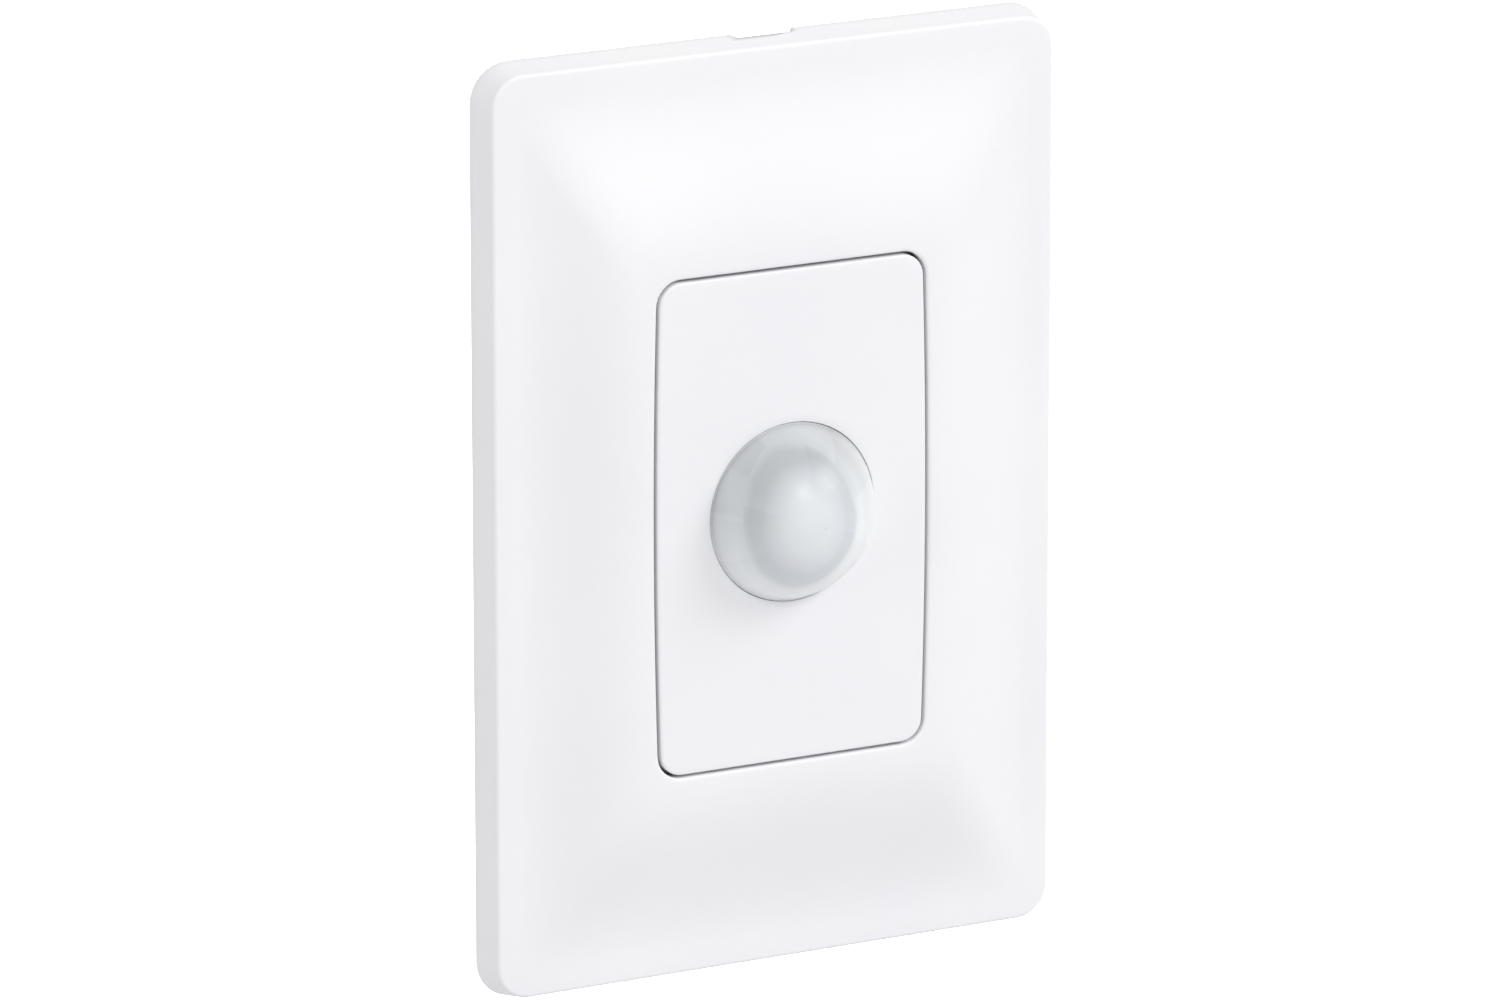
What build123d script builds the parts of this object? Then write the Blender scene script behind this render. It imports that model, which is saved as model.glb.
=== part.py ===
from build123d import *
import math
import os

os.makedirs("parts", exist_ok=True)

# Motion sensor light switch for a 4x2 wall box.
# +Z is up, +X is right as seen from the front, the wall plane is Y = 0 and the front faces -Y.
# A value ending in _out is a distance in front of the wall plane, one ending in _in is behind it.

# Cover plate
plate_width = 80.0
plate_height = 120.0
plate_corner_radius = 5.2
plate_side_depth = 4.6
plate_side_inset = 1.05
plate_wall = 1.8
rim_width = 3.0
face_rise = 4.33
plateau_width = 1.2
pry_notch_width = 8.8
pry_notch_floor_width = 7.0
pry_notch_depth = 1.2
plate_leg_width = 6.0
plate_leg_thickness = 1.4
plate_leg_tip_out = 0.5

# Window in the plate and the module face in it
window_width = 37.6
window_height = 64.1
window_bow = 0.48
window_radius = 3.2
window_gap = 0.35

# Dome lens
dome_base_radius = 11.36
dome_height = 9.72
dome_base_drop = 0.89
dome_raise = 0.48
dome_hole_gap = 0.1
lens_wall = 0.7
lens_flange_width = 1.2
lens_flange_thickness = 1.0

# Wall box screws
box_screw_spacing = 83.5
box_screw_radius = 1.75
box_screw_neck_radius = 1.5
box_screw_length = 25.0
box_screw_head_radius = 3.4
box_screw_head_height = 2.2
box_screw_slot_depth = 1.1

# Support frame
frame_base_thickness = 1.8
frame_rib_thickness = 1.4
frame_rib_gap = 0.3
frame_collar_out = 4.2
frame_slot_length = 10.0
frame_slot_gap = 0.4

# Rear housing
housing_wall = 1.6
housing_depth = 27.6
housing_ledge_x = 1.45
housing_ledge_z = 2.7
housing_flange_thickness = 0.8
housing_gap = 0.3
housing_radius = 2.0

# Boards
board_thickness = 1.6
board_gap = 0.4
sensor_board_out = 1.6
trimmer_height = 4.2
trimmer_rear_gap = 1.2

# Terminals
terminal_count = 3
terminal_side_gap = 1.3
terminal_wall = 1.2
wire_hole_radius = 1.8
terminal_travel = 3.0

# Shared clearances, small walls and the overrun of cuts
overrun = 1.0
pin_gap = 0.05
slide_gap = 0.2
thin_wall = 1.2
edge_round = 0.3
lead_radius = 0.3
lead_tail = 1.2
part_gap = 1.0
diagonal_share = math.sqrt(0.5)

# Places worked out from the sizes above
dome_sphere_radius = (dome_base_radius**2 + dome_height**2) / (2 * dome_height)
face_out = plate_side_depth + face_rise
module_width = window_width - 2 * window_gap
module_height = window_height - 2 * window_gap
module_radius = window_radius - window_gap
housing_width = module_width - 2 * housing_ledge_x
housing_height = module_height - 2 * housing_ledge_z
cavity_width = housing_width - 2 * housing_wall
cavity_height = housing_height - 2 * housing_wall
rear_wall_in = housing_depth - housing_wall
power_board_in = rear_wall_in - trimmer_rear_gap - trimmer_height - board_thickness
terminal_pitch = (cavity_width - 2 * terminal_side_gap - terminal_wall) / terminal_count
flange_out = frame_collar_out + housing_flange_thickness
cover_underside_out = face_out - plate_wall
screw_row = box_screw_spacing / 2


def facing(out):
    """Sketch plane parallel to the wall, seen from the front, at a distance in front of the wall."""
    return Plane.XZ.offset(out)


def behind(depth):
    """The same plane at a depth behind the wall plane."""
    return Plane.XZ.offset(-depth)


def bowed_outline(width, height, bow, radius):
    """Upright rectangle whose two long sides swell outward by bow, with rounded corners."""
    half_width = width / 2 - bow
    half_height = height / 2
    with BuildLine() as outline:
        Line((-half_width, half_height), (half_width, half_height))
        ThreePointArc((half_width, half_height), (width / 2, 0), (half_width, -half_height))
        Line((half_width, -half_height), (-half_width, -half_height))
        ThreePointArc((-half_width, -half_height), (-width / 2, 0), (-half_width, half_height))
    face = make_face(outline.edges())
    fillet(face.vertices(), radius)


def swell_outline(share):
    """Rounded rectangle of the plate's face, a share of the way from the rim in to the plateau."""
    wide = plate_width - 2 * (plate_side_inset + rim_width)
    high = plate_height - 2 * (plate_side_inset + rim_width)
    plateau_wide = window_width + 2 * plateau_width
    plateau_high = window_height + 2 * plateau_width
    corner = rim_corner_radius + share * (window_radius - rim_corner_radius)
    RectangleRounded(
        wide + share * (plateau_wide - wide),
        high + share * (plateau_high - high),
        corner,
    )


def swell_height(share):
    """Height of the swollen face over the rim, a share of the way in to the plateau."""
    return face_rise * share**2 * (3 - 2 * share)


rim_corner_radius = plate_corner_radius - plate_side_inset
swell_shares = (0, 0.12, 0.25, 0.4, 0.6, 0.8, 1)

# Cover plate: drafted side wall, flat rim, swollen face and a window for the module
leg_column = (window_width + plate_width) / 4 - plate_side_inset
leg_share = (plate_width / 2 - plate_side_inset - rim_width - leg_column) / (
    (plate_width - window_width) / 2 - plate_side_inset - rim_width - plateau_width
)
leg_root_out = plate_side_depth + swell_height(leg_share) - plate_wall / 2
side_draft = math.degrees(math.atan(plate_side_inset / plate_side_depth))
rim_underside_out = plate_side_depth - plate_wall
cavity_rise = cover_underside_out - rim_underside_out
leg_places = (
    (-leg_column, screw_row),
    (leg_column, screw_row),
    (-leg_column, -screw_row),
    (leg_column, -screw_row),
)

with BuildPart() as cover_plate:
    with BuildSketch(facing(0)):
        RectangleRounded(plate_width, plate_height, plate_corner_radius)
    extrude(amount=plate_side_depth, taper=side_draft)
    fillet(
        cover_plate.faces().sort_by(Axis.Y)[0].edges(),
        edge_round,
    )
    for share in swell_shares:
        with BuildSketch(facing(plate_side_depth + swell_height(share))):
            swell_outline(share)
    loft(ruled=True)
    with BuildSketch(facing(0)):
        RectangleRounded(
            plate_width - 2 * plate_wall,
            plate_height - 2 * plate_wall,
            plate_corner_radius - plate_wall,
        )
    extrude(amount=rim_underside_out, taper=side_draft, mode=Mode.SUBTRACT)
    for share in swell_shares:
        with BuildSketch(facing(rim_underside_out + share * cavity_rise)):
            swell_outline(share)
    loft(ruled=True, mode=Mode.SUBTRACT)
    with BuildSketch(facing(0)):
        bowed_outline(window_width, window_height, window_bow, window_radius)
    extrude(amount=face_out + overrun, mode=Mode.SUBTRACT)
    with BuildSketch(Plane.XY.offset(plate_height / 2 + overrun)):
        Polygon(
            (-pry_notch_width / 2, overrun),
            (-pry_notch_width / 2, 0),
            (-pry_notch_floor_width / 2, -pry_notch_depth),
            (pry_notch_floor_width / 2, -pry_notch_depth),
            (pry_notch_width / 2, 0),
            (pry_notch_width / 2, overrun),
            align=None,
        )
    extrude(amount=-2 * overrun - plate_wall, mode=Mode.SUBTRACT)
    with BuildSketch(facing(plate_leg_tip_out)):
        with Locations(*leg_places):
            Rectangle(plate_leg_thickness, plate_leg_width)
    extrude(amount=leg_root_out - plate_leg_tip_out)
cover_plate.part.label = "cover_plate"
export_step(cover_plate.part, "parts/cover_plate.step")

# Support frame: ribbed frame with a collar round the module, screw slots and windows for the plate's legs
frame_width = plate_width - 2 * (plate_wall + plate_side_inset + 2 * housing_gap)
frame_height = plate_height - 2 * (plate_wall + plate_side_inset + 2 * housing_gap)
frame_radius = plate_corner_radius - plate_wall
opening_width = housing_width + 2 * housing_gap
opening_height = housing_height + 2 * housing_gap
collar_width = opening_width + 2 * frame_rib_thickness
collar_height = opening_height + 2 * frame_rib_thickness
frame_rib_out = rim_underside_out - frame_rib_gap
slot_width = 2 * (box_screw_neck_radius + frame_slot_gap)
head_recess_gap = 0.6
head_recess_depth = 0.5
snap_lug_width = 8.0
snap_lug_height = 1.0
snap_lug_thickness = 0.8
cross_rib_count = 3
cross_rib_length = (frame_width - collar_width) / 2
cross_rib_pitch = collar_height / cross_rib_count

with BuildPart() as support_frame:
    with BuildSketch(facing(0)):
        RectangleRounded(frame_width, frame_height, frame_radius)
    extrude(amount=frame_base_thickness)
    with BuildSketch(facing(0)):
        RectangleRounded(frame_width, frame_height, frame_radius)
        Rectangle(
            frame_width - 2 * frame_rib_thickness,
            frame_height - 2 * frame_rib_thickness,
            mode=Mode.SUBTRACT,
        )
    extrude(amount=frame_rib_out)
    with BuildSketch(facing(0)):
        Rectangle(collar_width, collar_height)
    extrude(amount=frame_collar_out)
    with BuildSketch(facing(0)):
        with GridLocations(frame_width - cross_rib_length, cross_rib_pitch, 2, cross_rib_count):
            Rectangle(cross_rib_length, frame_rib_thickness)
    extrude(amount=frame_rib_out)
    with BuildSketch(facing(0)):
        RectangleRounded(opening_width, opening_height, housing_radius)
    extrude(amount=frame_collar_out, mode=Mode.SUBTRACT)
    with BuildSketch(facing(0)):
        with GridLocations(0, box_screw_spacing, 1, 2):
            SlotOverall(frame_slot_length, slot_width)
        with Locations(*leg_places):
            Rectangle(plate_leg_thickness + 2 * slide_gap, plate_leg_width + 2 * slide_gap)
    extrude(amount=frame_base_thickness, mode=Mode.SUBTRACT)
    with BuildSketch(facing(frame_base_thickness)):
        with GridLocations(0, box_screw_spacing, 1, 2):
            SlotOverall(
                frame_slot_length + 2 * (box_screw_head_radius - box_screw_neck_radius),
                2 * (box_screw_head_radius + head_recess_gap),
            )
    extrude(amount=-head_recess_depth, mode=Mode.SUBTRACT)
    with BuildSketch(facing(0)):
        Rectangle(
            snap_lug_width + 2 * slide_gap,
            housing_height + 2 * (snap_lug_height + slide_gap),
        )
    extrude(amount=snap_lug_thickness + slide_gap, mode=Mode.SUBTRACT)
support_frame.part.label = "support_frame"
export_step(support_frame.part, "parts/support_frame.step")

# Wall box screws: pan head in front of the frame, plain neck in its slot, thread behind the wall plane
box_screw_seat_out = frame_base_thickness - head_recess_depth
box_screw_tip_chamfer = 0.5
driver_slot_width = 0.9

with BuildPart() as box_screws:
    with BuildSketch(facing(box_screw_seat_out)):
        with GridLocations(0, box_screw_spacing, 1, 2):
            Circle(box_screw_head_radius)
    extrude(amount=box_screw_head_height)
    fillet(
        box_screws.edges().filter_by(GeomType.CIRCLE).group_by(Axis.Y)[0],
        box_screw_head_height / 3,
    )
    with BuildSketch(facing(box_screw_seat_out)):
        with GridLocations(0, box_screw_spacing, 1, 2):
            Circle(box_screw_neck_radius)
    extrude(amount=-box_screw_seat_out)
    with BuildSketch(facing(0)):
        with GridLocations(0, box_screw_spacing, 1, 2):
            Circle(box_screw_radius)
    extrude(amount=box_screw_seat_out - box_screw_length)
    chamfer(
        box_screws.edges().filter_by(GeomType.CIRCLE).group_by(Axis.Y)[-1],
        box_screw_tip_chamfer,
    )
    with BuildSketch(facing(box_screw_seat_out + box_screw_head_height)):
        with GridLocations(0, box_screw_spacing, 1, 2):
            Rectangle(2 * box_screw_head_radius, driver_slot_width)
            Rectangle(driver_slot_width, box_screw_head_radius)
    extrude(amount=-box_screw_slot_depth, mode=Mode.SUBTRACT)
box_screws.part.label = "box_screws"
export_step(box_screws.part, "parts/box_screws.step")

# Front cover: face of the module with a skirt, the hole for the dome, pegs for the board and hooks
cover_skirt = 1.6
dome_centre = (0, dome_raise)
dome_hole_radius = dome_sphere_radius + dome_hole_gap
stake_radius = 0.8
stake_circle = dome_hole_radius + lens_flange_width + stake_radius + thin_wall
retainer_thickness = 1.2
retainer_out = cover_underside_out - lens_flange_thickness
stake_tip_out = retainer_out - retainer_thickness - stake_radius
hook_width = 5.0
hook_thickness = 1.3
hook_row_share = 0.28
hook_row = module_height * hook_row_share
hook_tip_in = 3.2
hook_catch_in = 1.0
hook_reach = 1.0
peg_radius = 1.3
peg_inset = 2.6
sensor_board_width = cavity_width - 2 * board_gap
sensor_board_height = cavity_height - 2 * board_gap
power_board_width = sensor_board_width
power_board_top = sensor_board_height / 2
peg_column_spacing = sensor_board_width - 2 * peg_inset
peg_row_spacing = sensor_board_height - 2 * peg_inset
hook_column = cavity_width / 2 - slide_gap - hook_thickness / 2

with BuildPart() as front_cover:
    with BuildSketch(facing(flange_out)):
        bowed_outline(module_width, module_height, window_bow, module_radius)
    extrude(amount=face_out - flange_out)
    fillet(front_cover.faces().sort_by(Axis.Y)[0].edges(), edge_round)
    with BuildSketch(facing(flange_out)):
        RectangleRounded(
            module_width - 2 * (cover_skirt + window_bow),
            module_height - 2 * cover_skirt,
            module_radius - cover_skirt / 2,
        )
    extrude(amount=cover_underside_out - flange_out, mode=Mode.SUBTRACT)
    with BuildSketch(facing(cover_underside_out)):
        with GridLocations(peg_column_spacing, peg_row_spacing, 2, 2):
            Circle(peg_radius)
    extrude(amount=sensor_board_out - cover_underside_out)
    with BuildSketch(facing(cover_underside_out)):
        with Locations(dome_centre):
            with PolarLocations(stake_circle, 4, start_angle=45):
                Circle(stake_radius)
    extrude(amount=stake_tip_out - cover_underside_out)
    with BuildSketch(facing(cover_underside_out)):
        with GridLocations(2 * hook_column, 2 * hook_row, 2, 2):
            Rectangle(hook_thickness, hook_width)
    extrude(amount=-hook_tip_in - cover_underside_out)
    with BuildSketch(behind(hook_catch_in + slide_gap)):
        with GridLocations(2 * hook_column, 2 * hook_row, 2, 2):
            Rectangle(hook_thickness + 2 * hook_reach, hook_width)
        Rectangle(2 * hook_column, sensor_board_height, mode=Mode.SUBTRACT)
    extrude(amount=hook_catch_in + slide_gap - hook_tip_in)
    with BuildSketch(facing(face_out)):
        with Locations(dome_centre):
            Circle(dome_hole_radius)
    extrude(amount=-2 * plate_wall, mode=Mode.SUBTRACT)
front_cover.part.label = "front_cover"
export_step(front_cover.part, "parts/front_cover.step")

# Dome lens: thin spherical shell with a flange that lies on the back of the front cover
dome_apex_out = face_out - dome_base_drop + dome_height
dome_centre_out = dome_apex_out - dome_sphere_radius
flange_radius = dome_hole_radius + lens_flange_width
flange_front_out = cover_underside_out
flange_rear_out = cover_underside_out - lens_flange_thickness
inner_radius = dome_sphere_radius - lens_wall
inner_foot = math.sqrt(inner_radius**2 - (flange_rear_out - dome_centre_out) ** 2)
outer_foot = math.sqrt(dome_sphere_radius**2 - (flange_front_out - dome_centre_out) ** 2)

with BuildPart() as fresnel_lens:
    with BuildSketch(Plane.YZ):
        with BuildLine():
            Polyline(
                (-flange_rear_out, dome_raise + inner_foot),
                (-flange_rear_out, dome_raise + flange_radius),
                (-flange_front_out, dome_raise + flange_radius),
                (-flange_front_out, dome_raise + outer_foot),
            )
            ThreePointArc(
                (-flange_front_out, dome_raise + outer_foot),
                (
                    -dome_centre_out - dome_sphere_radius * diagonal_share,
                    dome_raise + dome_sphere_radius * diagonal_share,
                ),
                (-dome_apex_out, dome_raise),
            )
            Line((-dome_apex_out, dome_raise), (-dome_apex_out + lens_wall, dome_raise))
            ThreePointArc(
                (-dome_apex_out + lens_wall, dome_raise),
                (
                    -dome_centre_out - inner_radius * diagonal_share,
                    dome_raise + inner_radius * diagonal_share,
                ),
                (-flange_rear_out, dome_raise + inner_foot),
            )
        make_face()
    revolve(axis=Axis((0, 0, dome_raise), (0, 1, 0)))
fresnel_lens.part.label = "fresnel_lens"
export_step(fresnel_lens.part, "parts/fresnel_lens.step")

# Lens retainer: ring behind the flange with four ears on the cover's stakes
retainer_inner_radius = inner_foot - lens_wall
retainer_outer_radius = flange_radius + edge_round
ear_radius = stake_radius + thin_wall

with BuildPart() as lens_retainer:
    with BuildSketch(facing(retainer_out)):
        with Locations(dome_centre):
            Circle(retainer_outer_radius)
            with PolarLocations(stake_circle, 4, start_angle=45):
                Circle(ear_radius)
            Circle(retainer_inner_radius, mode=Mode.SUBTRACT)
            with PolarLocations(stake_circle, 4, start_angle=45):
                Circle(stake_radius + pin_gap, mode=Mode.SUBTRACT)
    extrude(amount=-retainer_thickness)
lens_retainer.part.label = "lens_retainer"
export_step(lens_retainer.part, "parts/lens_retainer.step")

# Rear housing: flanged box through the frame, with terminal bays, posts, ribs and access holes
corner_rib = 2.4
board_notch = corner_rib + board_gap
cage_depth = 6.0
cage_front_in = power_board_in + pin_gap + board_gap
cage_axis_in = cage_front_in + cage_depth / 2
bay_front_in = power_board_in - board_thickness
screw_access_radius = 2.4
trimmer_edge_inset = 8.0
trimmer_inset = 9.4
trimmer_shaft_radius = 1.5
board_post_radius = 2.2
board_screw_radius = 1.0
board_screw_length = 6.0
board_screw_head_radius = 2.0
power_board_rear_in = power_board_in + board_thickness

terminal_head_gap = 0.9
terminal_head_radius = (terminal_pitch - terminal_wall) / 2 - terminal_head_gap
terminal_head_height = 2.0
terminal_shank_gap = 0.55
cage_wall = 1.8
cage_far_wall = 1.2
cage_side_wall = 1.2
blade_thickness = 1.0
rest_gap = 0.4
cage_width = terminal_pitch - terminal_wall - 2 * rest_gap
terminal_shank_radius = cage_width / 2 - cage_side_wall - terminal_shank_gap
terminal_head_top = -cavity_height / 2 + 2 * pin_gap + terminal_head_height
blade_bottom = terminal_head_top + cage_wall + terminal_travel + 2 * rest_gap
blade_top = blade_bottom + blade_thickness
cage_far_inner = blade_top + 2 * wire_hole_radius
wire_row = blade_top + wire_hole_radius
cage_bottom = blade_bottom - rest_gap - cage_wall
cage_top = cage_far_inner + cage_far_wall
power_board_bottom = cage_top + part_gap
bay_top = power_board_bottom - board_gap - slide_gap
blade_tab_top = power_board_bottom + 2 * blade_thickness
half_board = power_board_width / 2
trimmer_spacing = power_board_width - 2 * trimmer_edge_inset
trimmer_row = power_board_top - trimmer_inset
board_post_places = (
    (
        -half_board + board_gap + board_post_radius,
        blade_tab_top + part_gap / 2 + board_post_radius,
    ),
    (
        half_board - part_gap - board_screw_head_radius,
        power_board_top - 2 * board_post_radius,
    ),
)

with BuildPart() as rear_housing:
    with BuildSketch(facing(flange_out)):
        RectangleRounded(housing_width, housing_height, housing_radius)
    extrude(amount=-flange_out - housing_depth)
    fillet(rear_housing.faces().sort_by(Axis.Y)[-1].edges(), 2 * edge_round)
    with BuildSketch(facing(flange_out)):
        RectangleRounded(
            module_width - 2 * window_bow,
            module_height - 2 * window_bow,
            module_radius,
        )
    extrude(amount=-housing_flange_thickness)
    with BuildSketch(facing(flange_out)):
        Rectangle(cavity_width, cavity_height)
    extrude(amount=-flange_out - rear_wall_in, mode=Mode.SUBTRACT)
    with BuildSketch(behind(rear_wall_in)):
        with GridLocations(cavity_width - corner_rib, cavity_height - corner_rib, 2, 2):
            Rectangle(corner_rib, corner_rib)
    extrude(amount=rear_wall_in + sensor_board_out - board_thickness)
    with BuildSketch(behind(rear_wall_in)):
        with Locations((0, (bay_top - cavity_height / 2) / 2)):
            with GridLocations(terminal_pitch, 0, terminal_count + 1, 1):
                Rectangle(terminal_wall, bay_top + cavity_height / 2)
    extrude(amount=rear_wall_in - bay_front_in)
    with BuildSketch(behind(rear_wall_in)):
        with Locations(*board_post_places):
            Circle(board_post_radius)
    extrude(amount=rear_wall_in - power_board_rear_in)
    with BuildSketch(behind(power_board_rear_in)):
        with Locations(*board_post_places):
            Circle(board_screw_radius + pin_gap)
    extrude(amount=-board_screw_length + board_thickness, mode=Mode.SUBTRACT)
    with BuildSketch(facing(0)):
        with GridLocations(0, housing_height + snap_lug_height, 1, 2):
            Rectangle(snap_lug_width, snap_lug_height)
    extrude(amount=snap_lug_thickness)
    with BuildSketch(behind(hook_catch_in)):
        with GridLocations(cavity_width + housing_wall, 2 * hook_row, 2, 2):
            Rectangle(housing_wall + overrun, hook_width + 2 * slide_gap)
    extrude(amount=hook_catch_in - hook_tip_in - slide_gap, mode=Mode.SUBTRACT)
    with BuildSketch(behind(housing_depth)):
        with Locations((0, wire_row)):
            with GridLocations(terminal_pitch, 0, terminal_count, 1):
                Circle(wire_hole_radius)
        with Locations((0, trimmer_row)):
            with GridLocations(trimmer_spacing, 0, 2, 1):
                Circle(trimmer_shaft_radius + slide_gap)
    extrude(amount=housing_wall, mode=Mode.SUBTRACT)
    with BuildSketch(Plane.XY.offset(-housing_height / 2)):
        with Locations((0, cage_axis_in)):
            with GridLocations(terminal_pitch, 0, terminal_count, 1):
                Circle(screw_access_radius)
    extrude(amount=housing_wall, mode=Mode.SUBTRACT)
rear_housing.part.label = "rear_housing"
export_step(rear_housing.part, "parts/rear_housing.step")

# Sensor board: lies on the housing's corner ribs under the pegs of the front cover
header_columns = 2
header_rows = 2
header_pitch = 2.54
header_pin_side = 0.64
header_rise = 16.5
header_z = power_board_bottom + header_rise
header_place = (
    half_board - part_gap - header_columns * header_pitch / 2,
    header_z,
)
chip_length = 8.7
chip_width = 3.9
chip_height = 1.5
chip_inset = 7.0
chip_z = sensor_board_height / 2 - chip_inset
chip_place = (0, chip_z)
chip_lead_count = 7
chip_lead_pitch = 1.27
chip_lead_reach = 1.0
chip_lead_width = 0.42
light_sensor_radius = 2.1
light_sensor_height = 2.0
light_sensor_lift = 1.0
pir_lead_circle = 1.27
pir_flange_radius = 4.6
light_sensor_reach = (pir_flange_radius + part_gap + light_sensor_radius) * diagonal_share
light_sensor_place = (light_sensor_reach, dome_raise - light_sensor_reach)

with BuildPart() as sensor_board:
    with BuildSketch(facing(sensor_board_out)):
        Rectangle(sensor_board_width, sensor_board_height)
        with GridLocations(sensor_board_width, 2 * hook_row, 2, 2):
            Rectangle(2 * hook_thickness + board_gap, hook_width + 2 * board_gap, mode=Mode.SUBTRACT)
        with Locations(header_place):
            with GridLocations(header_pitch, header_pitch, header_columns, header_rows):
                Circle(header_pin_side, mode=Mode.SUBTRACT)
        with Locations(dome_centre):
            with PolarLocations(pir_lead_circle, 3, start_angle=90):
                Circle(lead_radius + pin_gap, mode=Mode.SUBTRACT)
        with Locations(light_sensor_place):
            with GridLocations(light_sensor_radius, 0, 2, 1):
                Circle(lead_radius + pin_gap, mode=Mode.SUBTRACT)
    extrude(amount=-board_thickness)
sensor_board.part.label = "sensor_board"
export_step(sensor_board.part, "parts/sensor_board.step")

# Infrared sensor: metal can with a window, glass-to-metal header with three leads, spacer below
pir_can_radius = 4.1
pir_can_height = 4.2
pir_can_wall = 0.3
pir_flange_height = 0.5
pir_header_thickness = 1.0
pir_window_width = 4.6
pir_window_height = 3.4
pir_window_thickness = 0.5
pir_standoff_height = 0.8
pir_base_out = sensor_board_out + pir_standoff_height

with BuildPart() as pir_standoff:
    with BuildSketch(facing(sensor_board_out)):
        with Locations(dome_centre):
            Circle(pir_flange_radius)
            with PolarLocations(pir_lead_circle, 3, start_angle=90):
                Circle(lead_radius + pin_gap, mode=Mode.SUBTRACT)
    extrude(amount=pir_standoff_height)
pir_standoff.part.label = "pir_standoff"
export_step(pir_standoff.part, "parts/pir_standoff.step")

with BuildPart() as pir_can:
    with BuildSketch(facing(pir_base_out)):
        with Locations(dome_centre):
            Circle(pir_flange_radius)
    extrude(amount=pir_flange_height)
    with BuildSketch(facing(pir_base_out)):
        with Locations(dome_centre):
            Circle(pir_can_radius)
    extrude(amount=pir_can_height)
    fillet(
        pir_can.faces().sort_by(Axis.Y)[0].edges(),
        pir_can_wall,
    )
    with BuildSketch(facing(pir_base_out)):
        with Locations(dome_centre):
            Circle(pir_can_radius - pir_can_wall)
    extrude(amount=pir_can_height - pir_can_wall, mode=Mode.SUBTRACT)
    with BuildSketch(facing(pir_base_out)):
        with Locations(dome_centre):
            Rectangle(pir_window_width, pir_window_height)
    extrude(amount=pir_can_height, mode=Mode.SUBTRACT)
pir_can.part.label = "pir_can"
export_step(pir_can.part, "parts/pir_can.step")

with BuildPart() as pir_window:
    with BuildSketch(facing(pir_base_out + pir_can_height - pir_can_wall)):
        with Locations(dome_centre):
            Rectangle(pir_window_width + 2 * pir_can_wall, pir_window_height + 2 * pir_can_wall)
    extrude(amount=-pir_window_thickness)
    with BuildSketch(facing(pir_base_out + pir_can_height - pir_can_wall)):
        with Locations(dome_centre):
            Rectangle(pir_window_width - 2 * pin_gap, pir_window_height - 2 * pin_gap)
    extrude(amount=pir_can_wall / 2)
pir_window.part.label = "pir_window"
export_step(pir_window.part, "parts/pir_window.step")

with BuildPart() as pir_header:
    with BuildSketch(facing(pir_base_out)):
        with Locations(dome_centre):
            Circle(pir_can_radius - pir_can_wall)
    extrude(amount=pir_header_thickness)
    with BuildSketch(facing(pir_base_out)):
        with Locations(dome_centre):
            with PolarLocations(pir_lead_circle, 3, start_angle=90):
                Circle(lead_radius)
    extrude(amount=-pir_standoff_height - board_thickness - lead_tail)
pir_header.part.label = "pir_header"
export_step(pir_header.part, "parts/pir_header.step")

# Light sensor: round photo resistor on two leads under the edge of the lens
with BuildPart() as light_sensor:
    with BuildSketch(facing(sensor_board_out + light_sensor_lift)):
        with Locations(light_sensor_place):
            Circle(light_sensor_radius)
    extrude(amount=light_sensor_height)
    with BuildSketch(facing(sensor_board_out + light_sensor_lift)):
        with Locations(light_sensor_place):
            with GridLocations(light_sensor_radius, 0, 2, 1):
                Circle(lead_radius)
    extrude(amount=-light_sensor_lift - board_thickness - lead_tail)
light_sensor.part.label = "light_sensor"
export_step(light_sensor.part, "parts/light_sensor.step")

# Control chip: small outline body with gull-wing leads on both long sides
chip_lead_thickness = 0.2

with BuildPart() as control_chip:
    with BuildSketch(facing(sensor_board_out + chip_lead_thickness)):
        with Locations(chip_place):
            Rectangle(chip_length, chip_width)
    extrude(amount=chip_height)
    with BuildSketch(facing(sensor_board_out)):
        with Locations(chip_place):
            with GridLocations(chip_lead_pitch, chip_width, chip_lead_count, 2):
                Rectangle(chip_lead_width, 2 * chip_lead_reach)
    extrude(amount=chip_lead_thickness)
control_chip.part.label = "control_chip"
export_step(control_chip.part, "parts/control_chip.step")

# Chip resistors and chip capacitors: small blocks soldered flat on the sensor board
chip_part_length = 2.0
chip_part_width = 1.25
chip_resistor_height = 0.55
chip_capacitor_height = 0.9
chip_part_pitch = 3.0
resistor_rows = 4
capacitor_count = 4
capacitor_z = chip_z - chip_width / 2 - chip_lead_reach - part_gap - chip_part_length / 2
capacitor_centre = (0, capacitor_z)
resistor_centre = (0, -capacitor_z - part_gap)

with BuildPart() as chip_resistors:
    with BuildSketch(facing(sensor_board_out)):
        with Locations(resistor_centre):
            with GridLocations(chip_part_pitch, chip_part_width + chip_part_length, resistor_rows, 2):
                Rectangle(chip_part_width, chip_part_length)
    extrude(amount=chip_resistor_height)
chip_resistors.part.label = "chip_resistors"
export_step(chip_resistors.part, "parts/chip_resistors.step")

with BuildPart() as chip_capacitors:
    with BuildSketch(facing(sensor_board_out)):
        with Locations(capacitor_centre):
            with GridLocations(chip_part_pitch, 0, capacitor_count, 1):
                Rectangle(chip_part_width, chip_part_length)
    extrude(amount=chip_capacitor_height)
chip_capacitors.part.label = "chip_capacitors"
export_step(chip_capacitors.part, "parts/chip_capacitors.step")

# Small electrolytic capacitor: can on a square foot on the sensor board
small_can_radius = 2.5
small_can_height = 4.4
small_foot_height = 0.6
small_can_place = (
    -peg_column_spacing / 2 + peg_radius + part_gap + small_can_radius,
    -peg_row_spacing / 2 + small_can_radius,
)

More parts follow.
